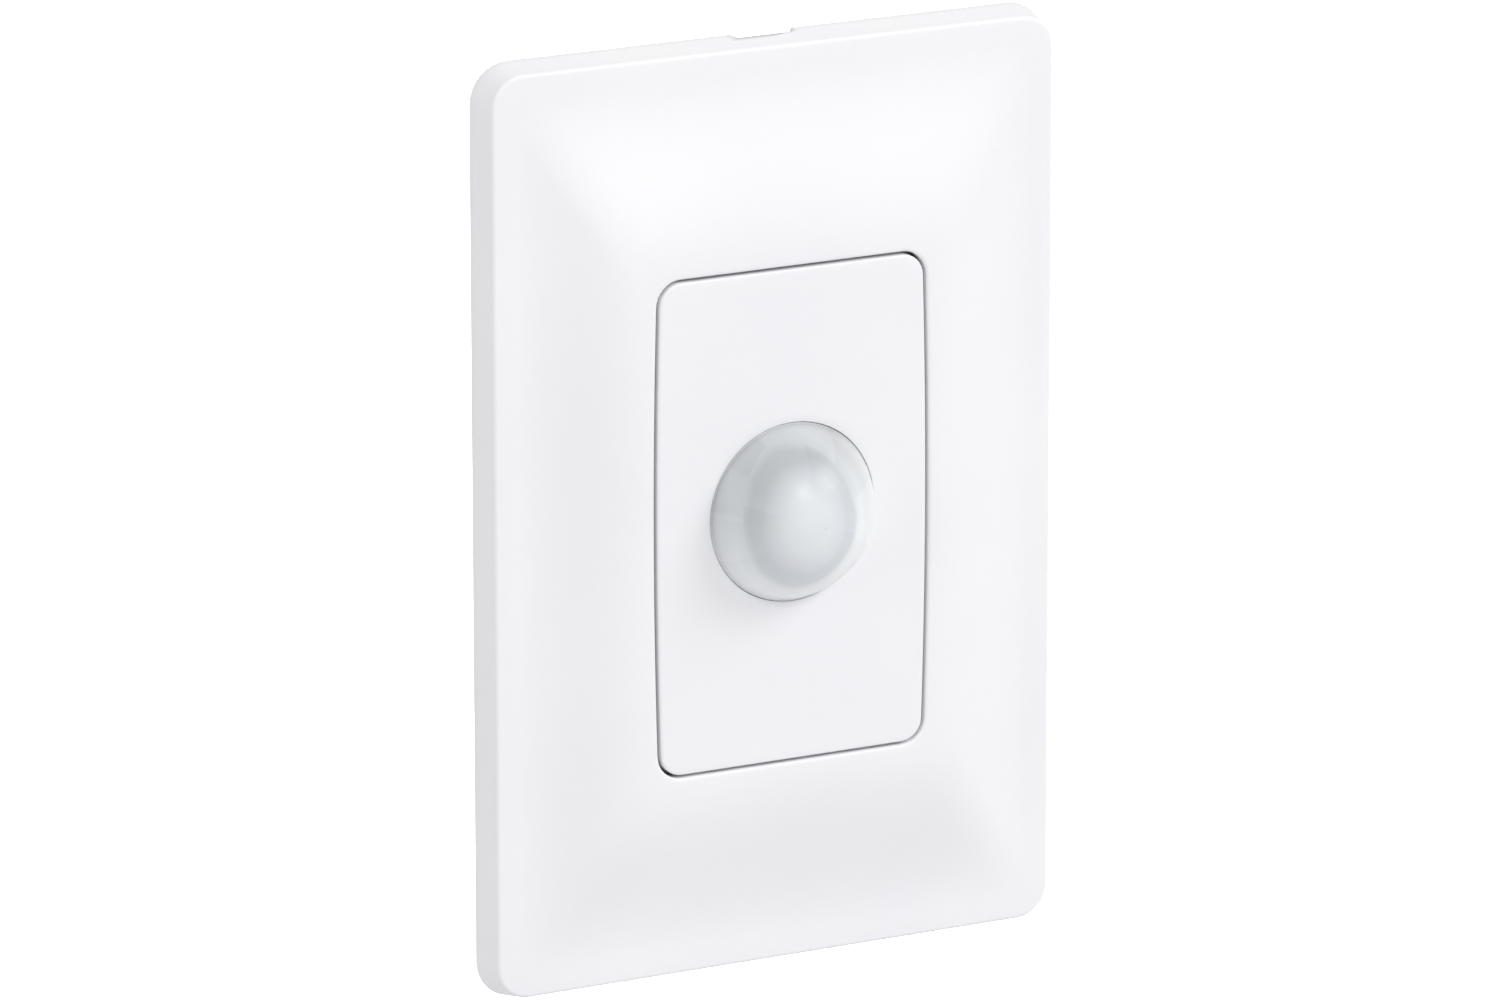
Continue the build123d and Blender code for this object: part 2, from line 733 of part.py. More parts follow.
with BuildPart() as small_electrolytic:
    with BuildSketch(facing(sensor_board_out)):
        with Locations(small_can_place):
            Rectangle(2 * small_can_radius, 2 * small_can_radius)
    extrude(amount=small_foot_height)
    with BuildSketch(facing(sensor_board_out)):
        with Locations(small_can_place):
            Circle(small_can_radius)
    extrude(amount=small_can_height)
small_electrolytic.part.label = "small_electrolytic"
export_step(small_electrolytic.part, "parts/small_electrolytic.step")

# Board header: plastic strip on the power board and long pins through both boards
header_strip_height = 2.5

with BuildPart() as board_header_strip:
    with BuildSketch(behind(power_board_in)):
        with Locations(header_place):
            Rectangle(header_columns * header_pitch, header_rows * header_pitch)
            with GridLocations(header_pitch, header_pitch, header_columns, header_rows):
                Rectangle(
                    header_pin_side + 2 * pin_gap,
                    header_pin_side + 2 * pin_gap,
                    mode=Mode.SUBTRACT,
                )
    extrude(amount=header_strip_height)
board_header_strip.part.label = "board_header_strip"
export_step(board_header_strip.part, "parts/board_header_strip.step")

with BuildPart() as board_header_pins:
    with BuildSketch(facing(sensor_board_out + lead_tail)):
        with Locations(header_place):
            with GridLocations(header_pitch, header_pitch, header_columns, header_rows):
                Rectangle(header_pin_side, header_pin_side)
    extrude(amount=-sensor_board_out - 2 * lead_tail - power_board_rear_in)
board_header_pins.part.label = "board_header_pins"
export_step(board_header_pins.part, "parts/board_header_pins.step")

# Relay sizes and places, its base lies on the power board and the case is turned to the front
relay_width_share = 0.5
relay_width = relay_width_share * power_board_width
relay_length = 19.0
relay_front_gap = 2.5
relay_height = power_board_in + sensor_board_out - board_thickness - lead_tail - relay_front_gap
relay_wall = 0.7
relay_base_height = 1.6
relay_top_gap = 2.3
relay_x = -half_board + part_gap + relay_width / 2
relay_z = power_board_top - relay_top_gap - relay_length / 2
relay_centre = (relay_x, relay_z)
relay_bottom = relay_z - relay_length / 2
relay_pin_side_inset = 1.5
relay_pin_end_inset = 2.2
relay_pin_reach_x = relay_width / 2 - relay_pin_side_inset
relay_pin_reach_z = relay_length / 2 - relay_pin_end_inset
relay_pin_places = (
    (relay_x - relay_pin_reach_x, relay_z - relay_pin_reach_z),
    (relay_x + relay_pin_reach_x, relay_z - relay_pin_reach_z),
    (relay_x - relay_pin_reach_x, relay_z + relay_pin_reach_z),
    (relay_x, relay_z + relay_pin_reach_z),
    (relay_x + relay_pin_reach_x, relay_z + relay_pin_reach_z),
)
relay_foot_in = power_board_in
relay_floor_in = relay_foot_in - relay_base_height
coil_rise = 1.4
coil_z = relay_z + coil_rise
coil_place = (relay_x, coil_z)
yoke_thickness = 1.2
yoke_side_gap = 2.3
yoke_width = relay_width - 2 * (relay_wall + yoke_side_gap)
yoke_gap = 1.8
yoke_column = relay_bottom + relay_wall + yoke_gap
core_radius = 1.6
core_head_radius = 2.8
core_head_height = 0.8
bobbin_barrel = 0.6
bobbin_radius = 4.4
bobbin_flange = 0.7
winding_inset = 0.4
winding_radius = bobbin_radius - winding_inset
armature_thickness = 1.0
armature_gap = 0.7
armature_front_gap = 0.95
contact_gap = 0.9
blade_spring_thickness = 0.3
contact_radius = 1.2
contact_height = 0.5
contact_z = relay_z + relay_pin_reach_z
yoke_floor_in = relay_floor_in - yoke_thickness
bobbin_rear_in = yoke_floor_in - pin_gap
case_front_in = relay_foot_in - relay_height + relay_wall
armature_front_in = case_front_in + armature_front_gap + blade_spring_thickness
armature_rear_in = armature_front_in + armature_thickness
core_front_in = armature_rear_in + armature_gap
bobbin_front_in = core_front_in + core_head_height
bobbin_length = bobbin_rear_in - bobbin_front_in
yoke_top_in = armature_rear_in + pin_gap
fixed_contact_front_in = armature_rear_in + contact_height + contact_gap

# Small electronic parts on the power board
film_length = 13.0
film_width_share = 0.16
film_width = film_width_share * power_board_width
film_height = 11.0
film_top_gap = 2.5
film_x = relay_x + relay_width / 2 + 1.5 * part_gap + film_width / 2
film_place = (film_x, power_board_top - film_top_gap - film_length / 2)
film_lead_pitch = 10.0
bulk_radius_share = 0.13
bulk_radius = bulk_radius_share * power_board_width
bulk_height = 12.0
bulk_place = (
    half_board - part_gap - bulk_radius,
    header_z - header_rows * header_pitch / 2 - part_gap - bulk_radius,
)
bulk_lead_pitch = 3.5
varistor_radius = 4.5
varistor_thickness_share = 0.11
varistor_thickness = varistor_thickness_share * power_board_width
varistor_place = (
    film_x + film_width / 2 + part_gap + varistor_thickness / 2,
    header_z + header_rows * header_pitch / 2 + part_gap + varistor_radius,
)
varistor_lead_pitch = 5.0
axial_lift = 0.4
fuse_radius_share = 0.05
fuse_radius = fuse_radius_share * power_board_width
fuse_length = 7.6
diode_radius_share = 0.042
diode_radius = diode_radius_share * power_board_width
diode_length = 5.0
diode_count = 4
diode_gap = 0.8
diode_pitch = 2 * diode_radius + diode_gap
axial_lead_reach = 1.0
regulator_width = 4.6
regulator_thickness = 3.6
regulator_height = 4.6
regulator_lift = 1.5
regulator_place = (terminal_pitch / 2, blade_tab_top + part_gap + regulator_thickness / 2)
regulator_lead_pitch = 1.27
trimmer_side = 6.0
fuse_lead_pitch = fuse_length + 2 * axial_lead_reach
diode_lead_pitch = diode_length + 2 * axial_lead_reach
fuse_x = -half_board + part_gap + fuse_radius
fuse_z = relay_bottom - part_gap / 2 - fuse_lead_pitch / 2
fuse_place = (fuse_x, fuse_z)
diode_x = fuse_x + fuse_radius + part_gap + diode_radius + diode_pitch * (diode_count - 1) / 2
diode_row_centre = (diode_x, fuse_z)

# Power board: screwed on two posts, notched round the corner ribs
power_board_height = power_board_top - power_board_bottom
power_board_centre = (power_board_top + power_board_bottom) / 2

with BuildPart() as power_board:
    with BuildSketch(behind(power_board_in)):
        with Locations((0, power_board_centre)):
            Rectangle(power_board_width, power_board_height)
        with Locations((0, power_board_top)):
            with GridLocations(power_board_width, 0, 2, 1):
                Rectangle(2 * board_notch, 2 * board_notch, mode=Mode.SUBTRACT)
        with Locations(*board_post_places):
            Circle(board_screw_radius + slide_gap, mode=Mode.SUBTRACT)
        with Locations(header_place):
            with GridLocations(header_pitch, header_pitch, header_columns, header_rows):
                Circle(header_pin_side, mode=Mode.SUBTRACT)
        with Locations(*relay_pin_places):
            Circle(lead_radius + pin_gap, mode=Mode.SUBTRACT)
        with Locations(film_place):
            with GridLocations(0, film_lead_pitch, 1, 2):
                Circle(lead_radius + pin_gap, mode=Mode.SUBTRACT)
        with Locations(bulk_place):
            with GridLocations(bulk_lead_pitch, 0, 2, 1):
                Circle(lead_radius + pin_gap, mode=Mode.SUBTRACT)
        with Locations(varistor_place):
            with GridLocations(0, varistor_lead_pitch, 1, 2):
                Circle(lead_radius + pin_gap, mode=Mode.SUBTRACT)
        with Locations(fuse_place):
            with GridLocations(0, fuse_lead_pitch, 1, 2):
                Circle(lead_radius + pin_gap, mode=Mode.SUBTRACT)
        with Locations(diode_row_centre):
            with GridLocations(diode_pitch, diode_lead_pitch, diode_count, 2):
                Circle(lead_radius + pin_gap, mode=Mode.SUBTRACT)
        with Locations(regulator_place):
            with GridLocations(regulator_lead_pitch, 0, 3, 1):
                Circle(lead_radius + pin_gap, mode=Mode.SUBTRACT)
    extrude(amount=-board_thickness)
power_board.part.label = "power_board"
export_step(power_board.part, "parts/power_board.step")

# Board screws: pan head self-tapping screws into the housing posts
board_screw_head_height = 1.4

with BuildPart() as board_screws:
    with BuildSketch(behind(power_board_in)):
        with Locations(*board_post_places):
            Circle(board_screw_head_radius)
    extrude(amount=board_screw_head_height)
    with BuildSketch(behind(power_board_in)):
        with Locations(*board_post_places):
            Circle(board_screw_radius)
    extrude(amount=-board_screw_length + slide_gap)
    with BuildSketch(behind(power_board_in - board_screw_head_height)):
        with Locations(*board_post_places):
            Rectangle(board_screw_head_radius, driver_slot_width / 2)
            Rectangle(driver_slot_width / 2, board_screw_head_radius)
    extrude(amount=-board_screw_head_height / 2, mode=Mode.SUBTRACT)
board_screws.part.label = "board_screws"
export_step(board_screws.part, "parts/board_screws.step")

# Film capacitor: moulded box with two leads
with BuildPart() as film_capacitor:
    with BuildSketch(behind(power_board_in)):
        with Locations(film_place):
            Rectangle(film_width, film_length)
    extrude(amount=film_height)
    fillet(film_capacitor.faces().sort_by(Axis.Y)[0].edges(), edge_round)
    with BuildSketch(behind(power_board_in)):
        with Locations(film_place):
            with GridLocations(0, film_lead_pitch, 1, 2):
                Circle(lead_radius)
    extrude(amount=-board_thickness - lead_tail)
film_capacitor.part.label = "film_capacitor"
export_step(film_capacitor.part, "parts/film_capacitor.step")

# Bulk electrolytic capacitor: upright sleeved can with two leads
with BuildPart() as bulk_electrolytic:
    with BuildSketch(behind(power_board_in)):
        with Locations(bulk_place):
            Circle(bulk_radius)
    extrude(amount=bulk_height)
    fillet(bulk_electrolytic.faces().sort_by(Axis.Y)[0].edges(), edge_round)
    with BuildSketch(behind(power_board_in)):
        with Locations(bulk_place):
            with GridLocations(bulk_lead_pitch, 0, 2, 1):
                Circle(lead_radius)
    extrude(amount=-board_thickness - lead_tail)
bulk_electrolytic.part.label = "bulk_electrolytic"
export_step(bulk_electrolytic.part, "parts/bulk_electrolytic.step")

# Varistor: lacquered disc standing on two leads, its axis along X
varistor_x, varistor_z = varistor_place
varistor_lift = 1.0
varistor_axis_in = power_board_in - varistor_lift - varistor_radius

with BuildPart() as varistor:
    with BuildSketch(Plane.YZ.offset(varistor_x - varistor_thickness / 2)):
        with Locations((varistor_axis_in, varistor_z)):
            Circle(varistor_radius)
    extrude(amount=varistor_thickness)
    fillet(varistor.edges().filter_by(GeomType.CIRCLE), varistor_thickness / 4)
    with BuildSketch(behind(varistor_axis_in)):
        with Locations(varistor_place):
            with GridLocations(0, varistor_lead_pitch, 1, 2):
                Circle(lead_radius)
    extrude(amount=varistor_axis_in - power_board_rear_in - lead_tail)
varistor.part.label = "varistor"
export_step(varistor.part, "parts/varistor.step")

# Fuse resistor and rectifier diodes: bodies lying along Z, their leads bent down into the board
fuse_axis_in = power_board_in - axial_lift - fuse_radius
diode_axis_in = power_board_in - axial_lift - diode_radius

with BuildPart() as fuse_resistor:
    with BuildSketch(Plane.XY.offset(fuse_z - fuse_length / 2)):
        with Locations((fuse_x, fuse_axis_in)):
            Circle(fuse_radius)
    extrude(amount=fuse_length)
    fillet(fuse_resistor.edges().filter_by(GeomType.CIRCLE), edge_round)
    with BuildSketch(Plane.XY.offset(fuse_z - fuse_lead_pitch / 2)):
        with Locations((fuse_x, fuse_axis_in)):
            Circle(lead_radius)
    extrude(amount=fuse_lead_pitch)
    with BuildSketch(behind(fuse_axis_in)):
        with Locations(fuse_place):
            with GridLocations(0, fuse_lead_pitch, 1, 2):
                Circle(lead_radius)
    extrude(amount=fuse_axis_in - power_board_rear_in - lead_tail)
fuse_resistor.part.label = "fuse_resistor"
export_step(fuse_resistor.part, "parts/fuse_resistor.step")

with BuildPart() as rectifier_diodes:
    with BuildSketch(Plane.XY.offset(fuse_z - diode_length / 2)):
        with Locations((diode_x, diode_axis_in)):
            with GridLocations(diode_pitch, 0, diode_count, 1):
                Circle(diode_radius)
    extrude(amount=diode_length)
    with BuildSketch(Plane.XY.offset(fuse_z - diode_lead_pitch / 2)):
        with Locations((diode_x, diode_axis_in)):
            with GridLocations(diode_pitch, 0, diode_count, 1):
                Circle(lead_radius)
    extrude(amount=diode_lead_pitch)
    with BuildSketch(behind(diode_axis_in)):
        with Locations(diode_row_centre):
            with GridLocations(diode_pitch, diode_lead_pitch, diode_count, 2):
                Circle(lead_radius)
    extrude(amount=diode_axis_in - power_board_rear_in - lead_tail)
rectifier_diodes.part.label = "rectifier_diodes"
export_step(rectifier_diodes.part, "parts/rectifier_diodes.step")

# Voltage regulator: small moulded body with a flat side on three leads
with BuildPart() as voltage_regulator:
    with BuildSketch(behind(power_board_in - regulator_lift)):
        with Locations(regulator_place):
            RectangleRounded(regulator_width, regulator_thickness, regulator_thickness / 4)
    extrude(amount=regulator_height)
    with BuildSketch(behind(power_board_in - regulator_lift)):
        with Locations(regulator_place):
            with GridLocations(regulator_lead_pitch, 0, 3, 1):
                Circle(lead_radius)
    extrude(amount=-regulator_lift - board_thickness - lead_tail)
voltage_regulator.part.label = "voltage_regulator"
export_step(voltage_regulator.part, "parts/voltage_regulator.step")

# Relay base and case: the base plate carries the pins and fits inside the open end of the case
with BuildPart() as relay_base:
    with BuildSketch(behind(relay_foot_in)):
        with Locations(relay_centre):
            Rectangle(
                relay_width - 2 * (relay_wall + pin_gap),
                relay_length - 2 * (relay_wall + pin_gap),
            )
        with Locations(*relay_pin_places):
            Circle(lead_radius + pin_gap, mode=Mode.SUBTRACT)
    extrude(amount=relay_base_height)
relay_base.part.label = "relay_base"
export_step(relay_base.part, "parts/relay_base.step")

with BuildPart() as relay_case:
    with BuildSketch(behind(relay_foot_in)):
        with Locations(relay_centre):
            Rectangle(relay_width, relay_length)
    extrude(amount=relay_height)
    fillet(relay_case.faces().sort_by(Axis.Y)[0].edges(), edge_round)
    with BuildSketch(behind(relay_foot_in)):
        with Locations(relay_centre):
            Rectangle(relay_width - 2 * relay_wall, relay_length - 2 * relay_wall)
    extrude(amount=relay_height - relay_wall, mode=Mode.SUBTRACT)
relay_case.part.label = "relay_case"
export_step(relay_case.part, "parts/relay_case.step")

# Relay pins: straight pins through the base and the power board
with BuildPart() as relay_pins:
    with BuildSketch(behind(relay_floor_in)):
        with Locations(*relay_pin_places):
            Circle(lead_radius)
    extrude(amount=-relay_base_height - board_thickness - lead_tail)
relay_pins.part.label = "relay_pins"
export_step(relay_pins.part, "parts/relay_pins.step")

# Relay magnet: L shaped yoke on the base, core with a pole head, bobbin and winding round it
yoke_reach = coil_z + core_radius + yoke_thickness - yoke_column

with BuildPart() as relay_yoke:
    with BuildSketch(behind(relay_floor_in)):
        with Locations((relay_x, yoke_column + yoke_reach / 2)):
            Rectangle(yoke_width, yoke_reach)
        with Locations(coil_place):
            Circle(core_radius + pin_gap, mode=Mode.SUBTRACT)
    extrude(amount=yoke_thickness)
    with BuildSketch(behind(relay_floor_in)):
        with Locations((relay_x, yoke_column + yoke_thickness / 2)):
            Rectangle(yoke_width, yoke_thickness)
    extrude(amount=relay_floor_in - yoke_top_in)
relay_yoke.part.label = "relay_yoke"
export_step(relay_yoke.part, "parts/relay_yoke.step")

with BuildPart() as relay_core:
    with BuildSketch(behind(relay_floor_in)):
        with Locations(coil_place):
            Circle(core_radius)
    extrude(amount=relay_floor_in - core_front_in)
    with BuildSketch(behind(bobbin_front_in)):
        with Locations(coil_place):
            Circle(core_head_radius)
    extrude(amount=core_head_height)
relay_core.part.label = "relay_core"
export_step(relay_core.part, "parts/relay_core.step")

with BuildPart() as relay_bobbin:
    with BuildSketch(behind(bobbin_rear_in)):
        with Locations(coil_place):
            Circle(core_radius + pin_gap + bobbin_barrel)
    extrude(amount=bobbin_length)
    with BuildSketch(behind(bobbin_rear_in)):
        with Locations(coil_place):
            Circle(bobbin_radius)
    extrude(amount=bobbin_flange)
    with BuildSketch(behind(bobbin_front_in)):
        with Locations(coil_place):
            Circle(bobbin_radius)
    extrude(amount=-bobbin_flange)
    with BuildSketch(behind(bobbin_rear_in)):
        with Locations(coil_place):
            Circle(core_radius + pin_gap)
    extrude(amount=bobbin_length, mode=Mode.SUBTRACT)
relay_bobbin.part.label = "relay_bobbin"
export_step(relay_bobbin.part, "parts/relay_bobbin.step")

with BuildPart() as relay_winding:
    with BuildSketch(behind(bobbin_rear_in - bobbin_flange)):
        with Locations(coil_place):
            Circle(winding_radius)
            Circle(core_radius + 2 * pin_gap + bobbin_barrel, mode=Mode.SUBTRACT)
    extrude(amount=bobbin_length - 2 * bobbin_flange)
relay_winding.part.label = "relay_winding"
export_step(relay_winding.part, "parts/relay_winding.step")

# Relay armature and contact blade: the armature rests on the yoke's edge and tilts to the pole
armature_length = coil_z + core_head_radius - yoke_column
blade_spring_width = 4.0
blade_spring_root = coil_z
blade_spring_end = contact_z + contact_radius

with BuildPart() as relay_armature:
    with BuildSketch(behind(armature_rear_in)):
        with Locations((relay_x, yoke_column + armature_length / 2)):
            Rectangle(yoke_width, armature_length)
    extrude(amount=armature_thickness)
relay_armature.part.label = "relay_armature"
export_step(relay_armature.part, "parts/relay_armature.step")

with BuildPart() as relay_contact_blade:
    with BuildSketch(behind(armature_front_in)):
        with Locations((relay_x, (blade_spring_root + blade_spring_end) / 2)):
            Rectangle(blade_spring_width, blade_spring_end - blade_spring_root)
    extrude(amount=blade_spring_thickness)
    with BuildSketch(behind(armature_front_in)):
        with Locations((relay_x, contact_z)):
            Circle(contact_radius)
    extrude(amount=-armature_thickness - contact_height)
relay_contact_blade.part.label = "relay_contact_blade"
export_step(relay_contact_blade.part, "parts/relay_contact_blade.step")

with BuildPart() as relay_fixed_contact:
    with BuildSketch(behind(relay_floor_in)):
        with Locations((relay_x, contact_z)):
            Rectangle(blade_spring_width, 2 * contact_height)
    extrude(amount=relay_floor_in - fixed_contact_front_in - contact_height)
    with BuildSketch(behind(fixed_contact_front_in + contact_height)):
        with Locations((relay_x, contact_z)):
            Circle(contact_radius)
    extrude(amount=contact_height)
relay_fixed_contact.part.label = "relay_fixed_contact"
export_step(relay_fixed_contact.part, "parts/relay_fixed_contact.step")

# Trimmers on the rear of the power board: square bodies and slotted rotors seen in the rear wall
rotor_disc_radius = 2.4
rotor_disc_height = 1.4
rotor_slot_width = 0.7
rotor_slot_depth = 0.8
trimmer_rear_in = power_board_rear_in + trimmer_height

for side, name in ((-1, "time"), (1, "light")):
    trimmer_place = (side * trimmer_spacing / 2, trimmer_row)
    with BuildPart() as trimmer_body:
        with BuildSketch(behind(power_board_rear_in)):
            with Locations(trimmer_place):
                Rectangle(trimmer_side, trimmer_side)
        extrude(amount=-trimmer_height)
        with BuildSketch(behind(trimmer_rear_in)):
            with Locations(trimmer_place):
                Circle(rotor_disc_radius + pin_gap)
        extrude(amount=rotor_disc_height, mode=Mode.SUBTRACT)
    trimmer_body.part.label = f"{name}_trimmer_body"
    export_step(trimmer_body.part, f"parts/{name}_trimmer_body.step")

    with BuildPart() as trimmer_rotor:
        with BuildSketch(behind(trimmer_rear_in - rotor_disc_height + pin_gap)):
            with Locations(trimmer_place):
                Circle(rotor_disc_radius)
        extrude(amount=-rotor_disc_height)
        with BuildSketch(behind(trimmer_rear_in)):
            with Locations(trimmer_place):
                Circle(trimmer_shaft_radius)
        extrude(amount=trimmer_rear_in - housing_depth)
        with BuildSketch(behind(housing_depth)):
            with Locations(trimmer_place):
                Rectangle(2 * trimmer_shaft_radius, rotor_slot_width)
        extrude(amount=rotor_slot_depth, mode=Mode.SUBTRACT)
    trimmer_rotor.part.label = f"{name}_trimmer_rotor"
    export_step(trimmer_rotor.part, f"parts/{name}_trimmer_rotor.step")

# Terminal blades: bar through each cage with a tab soldered to the front of the power board
blade_width = cage_width - 2 * cage_side_wall - 2 * slide_gap
blade_end_in = cage_front_in + cage_depth + slide_gap
blade_column = (blade_tab_top + blade_bottom) / 2

with BuildPart() as terminal_blades:
    with BuildSketch(behind(power_board_in)):
        with Locations((0, blade_column)):
            with GridLocations(terminal_pitch, 0, terminal_count, 1):
                Rectangle(blade_width, blade_tab_top - blade_bottom)
    extrude(amount=blade_thickness)
    with BuildSketch(behind(power_board_in)):
        with Locations((0, blade_bottom + blade_thickness / 2)):
            with GridLocations(terminal_pitch, 0, terminal_count, 1):
                Rectangle(blade_width, blade_thickness)
    extrude(amount=power_board_in - blade_end_in)
terminal_blades.part.label = "terminal_blades"
export_step(terminal_blades.part, "parts/terminal_blades.step")

# Terminal screws and rising cages: the screw turns between wall and blade and draws the cage down
for number in range(1, terminal_count + 1):
    terminal_x = (number - (terminal_count + 1) / 2) * terminal_pitch

    with BuildPart() as terminal_screw:
        with BuildSketch(Plane.XY.offset(terminal_head_top)):
            with Locations((terminal_x, cage_axis_in)):
                Circle(terminal_head_radius)
        extrude(amount=-terminal_head_height)
        with BuildSketch(Plane.XY.offset(terminal_head_top)):
            with Locations((terminal_x, cage_axis_in)):
                Circle(terminal_shank_radius)
        extrude(amount=blade_bottom - pin_gap - terminal_head_top)
        with BuildSketch(Plane.XY.offset(terminal_head_top - terminal_head_height)):
            with Locations((terminal_x, cage_axis_in)):
                Rectangle(2 * terminal_head_radius, driver_slot_width)
        extrude(amount=terminal_head_height / 2, mode=Mode.SUBTRACT)
    terminal_screw.part.label = f"terminal_screw_{number}"
    export_step(terminal_screw.part, f"parts/terminal_screw_{number}.step")

    with BuildPart() as terminal_cage:
        with BuildSketch(behind(cage_front_in)):
            with Locations((terminal_x, (cage_bottom + cage_top) / 2)):
                Rectangle(cage_width, cage_top - cage_bottom)
            with Locations((terminal_x, (cage_bottom + cage_wall + cage_far_inner) / 2)):
                Rectangle(
                    cage_width - 2 * cage_side_wall,
                    cage_far_inner - cage_bottom - cage_wall,
                    mode=Mode.SUBTRACT,
                )
        extrude(amount=-cage_depth)
        with BuildSketch(Plane.XY.offset(cage_bottom)):
            with Locations((terminal_x, cage_axis_in)):
                Circle(terminal_shank_radius + pin_gap)
        extrude(amount=cage_wall, mode=Mode.SUBTRACT)
    terminal_cage.part.label = f"terminal_cage_{number}"
    export_step(terminal_cage.part, f"parts/terminal_cage_{number}.step")
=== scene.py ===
import math

import bmesh
import bpy
from mathutils import Matrix, Vector


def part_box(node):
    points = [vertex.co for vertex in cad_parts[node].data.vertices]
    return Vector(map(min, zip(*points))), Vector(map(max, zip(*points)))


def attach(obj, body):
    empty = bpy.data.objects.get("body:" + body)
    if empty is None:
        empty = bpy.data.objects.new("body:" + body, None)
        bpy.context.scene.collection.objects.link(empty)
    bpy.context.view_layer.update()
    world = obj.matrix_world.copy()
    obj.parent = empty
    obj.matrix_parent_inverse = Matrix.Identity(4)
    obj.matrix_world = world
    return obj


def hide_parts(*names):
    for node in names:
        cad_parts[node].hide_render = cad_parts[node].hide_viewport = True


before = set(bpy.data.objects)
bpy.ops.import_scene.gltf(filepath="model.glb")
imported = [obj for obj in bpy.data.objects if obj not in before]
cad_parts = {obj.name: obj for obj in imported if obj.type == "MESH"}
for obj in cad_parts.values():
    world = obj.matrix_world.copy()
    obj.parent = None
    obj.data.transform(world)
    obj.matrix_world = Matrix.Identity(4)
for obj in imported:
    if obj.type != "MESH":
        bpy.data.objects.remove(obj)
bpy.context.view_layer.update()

# Studio: a pale floor well below the switch, a white sky and soft lamps, as for a catalogue picture.
# The switch is looked at with a long lens from its left and a little from above. The camera and the
# lamps are placed in metres. The points of everything that is modelled here are in millimetres.
view_azimuth, view_elevation, view_roll = math.radians(-27.474), math.radians(15.523), math.radians(-0.034)
view_distance, view_aside, view_above = 1.265947, -0.0012, -0.00018
lens_length, sensor_width = 242.9, 36
near_limit, far_limit = 0.05, 30
floor_drop, floor_half = 0.42, 12
sky_strength = 0.69
# the signs of a rectangle's four corners, counter-clockwise
corners = (-1, -1), (1, -1), (1, 1), (-1, 1)

view_back = Vector((
    math.sin(view_azimuth) * math.cos(view_elevation),
    -math.cos(view_azimuth) * math.cos(view_elevation),
    math.sin(view_elevation),
))
level_right = Vector((math.cos(view_azimuth), math.sin(view_azimuth), 0))
level_up = view_back.cross(level_right)
view_right = level_right * math.cos(view_roll) + level_up * math.sin(view_roll)
view_up = level_up * math.cos(view_roll) - level_right * math.sin(view_roll)
camera = bpy.data.objects.new("camera", bpy.data.cameras.new("camera"))
camera.data.sensor_width, camera.data.lens = sensor_width, lens_length
camera.data.clip_start, camera.data.clip_end = near_limit, far_limit
camera.matrix_world = Matrix((view_right, view_up, view_back)).transposed().to_4x4()
camera.location = view_back * view_distance + view_right * view_aside + view_up * view_above
bpy.context.scene.collection.objects.link(camera)
bpy.context.scene.camera = camera
bpy.context.scene.view_settings.view_transform = "Standard"


def linear(colour):
    """Linear colour of an sRGB hex value such as F2F2F4, with full alpha."""
    shares = [int(colour[i:i + 2], 16) / 255 for i in (0, 2, 4)]
    return [c / 12.92 if c <= 0.04045 else ((c + 0.055) / 1.055) ** 2.4 for c in shares] + [1]


def add_node(tree, kind, inputs=None, **settings):
    """Adds one node. An input, by name or number, takes a value or another node's socket."""
    node = tree.nodes.new(kind)
    for name, value in settings.items():
        setattr(node, name, value)
    for name, value in (inputs or {}).items():
        if isinstance(value, bpy.types.NodeSocket):
            tree.links.new(value, node.inputs[name])
        else:
            node.inputs[name].default_value = value
    return node


def new_material(name):
    """An empty node material, its tree and the socket with the place on the object."""
    material = bpy.data.materials.new(name)
    material.use_nodes = True
    tree = material.node_tree
    tree.nodes.clear()
    return material, tree, add_node(tree, "ShaderNodeTexCoord").outputs["Object"]


def noise(tree, place, size_mm, detail, **more):
    """The outputs of a noise with patches of about one size."""
    inputs = {"Vector": place, "Scale": 1000 / size_mm, "Detail": detail, **more}
    return add_node(tree, "ShaderNodeTexNoise", inputs).outputs


def ranged(tree, value, to_low, to_high, from_low=0.0, from_high=1.0):
    """A value carried from one range to another."""
    return add_node(tree, "ShaderNodeMapRange", {
        "Value": value, "From Min": from_low, "From Max": from_high, "To Min": to_low, "To Max": to_high,
    }).outputs["Result"]


def surface(tree, inputs):
    """Ends a material with its shader."""
    shader = add_node(tree, "ShaderNodeBsdfPrincipled", inputs)
    add_node(tree, "ShaderNodeOutputMaterial", {"Surface": shader.outputs["BSDF"]})


def smooth(mesh, angle):
    """Smooth shading over edges that turn by less than an angle."""
    mesh.polygons.foreach_set("use_smooth", [True] * len(mesh.polygons))
    mesh.set_sharp_from_angle(angle=math.radians(angle))


def new_piece(name, verts, faces, material, smooth_angle=35):
    """A mesh object from points in millimetres, with its material and smooth shading up to an angle."""
    mesh = bpy.data.meshes.new(name)
    mesh.from_pydata([tuple(c / 1000 for c in v) for v in verts], [], faces)
    mesh.validate()
    mesh.materials.append(material)
    smooth(mesh, smooth_angle)
    piece = bpy.data.objects.new(name, mesh)
    bpy.context.scene.collection.objects.link(piece)
    return piece


floor_paint, tree, place = new_material("matt_white_floor_paint")
# Matt white paint with faint patches in its sheen.
patches = noise(tree, place, 25, 3)["Fac"]
surface(tree, {"Base Color": linear("D8D8DA"), "Roughness": ranged(tree, patches, 0.85, 0.95)})
floor = new_piece(
    "floor",
    [(sx * floor_half * 1000, sy * floor_half * 1000, -floor_drop * 1000) for sx, sy in corners],
    [(0, 1, 2, 3)],
    floor_paint,
)

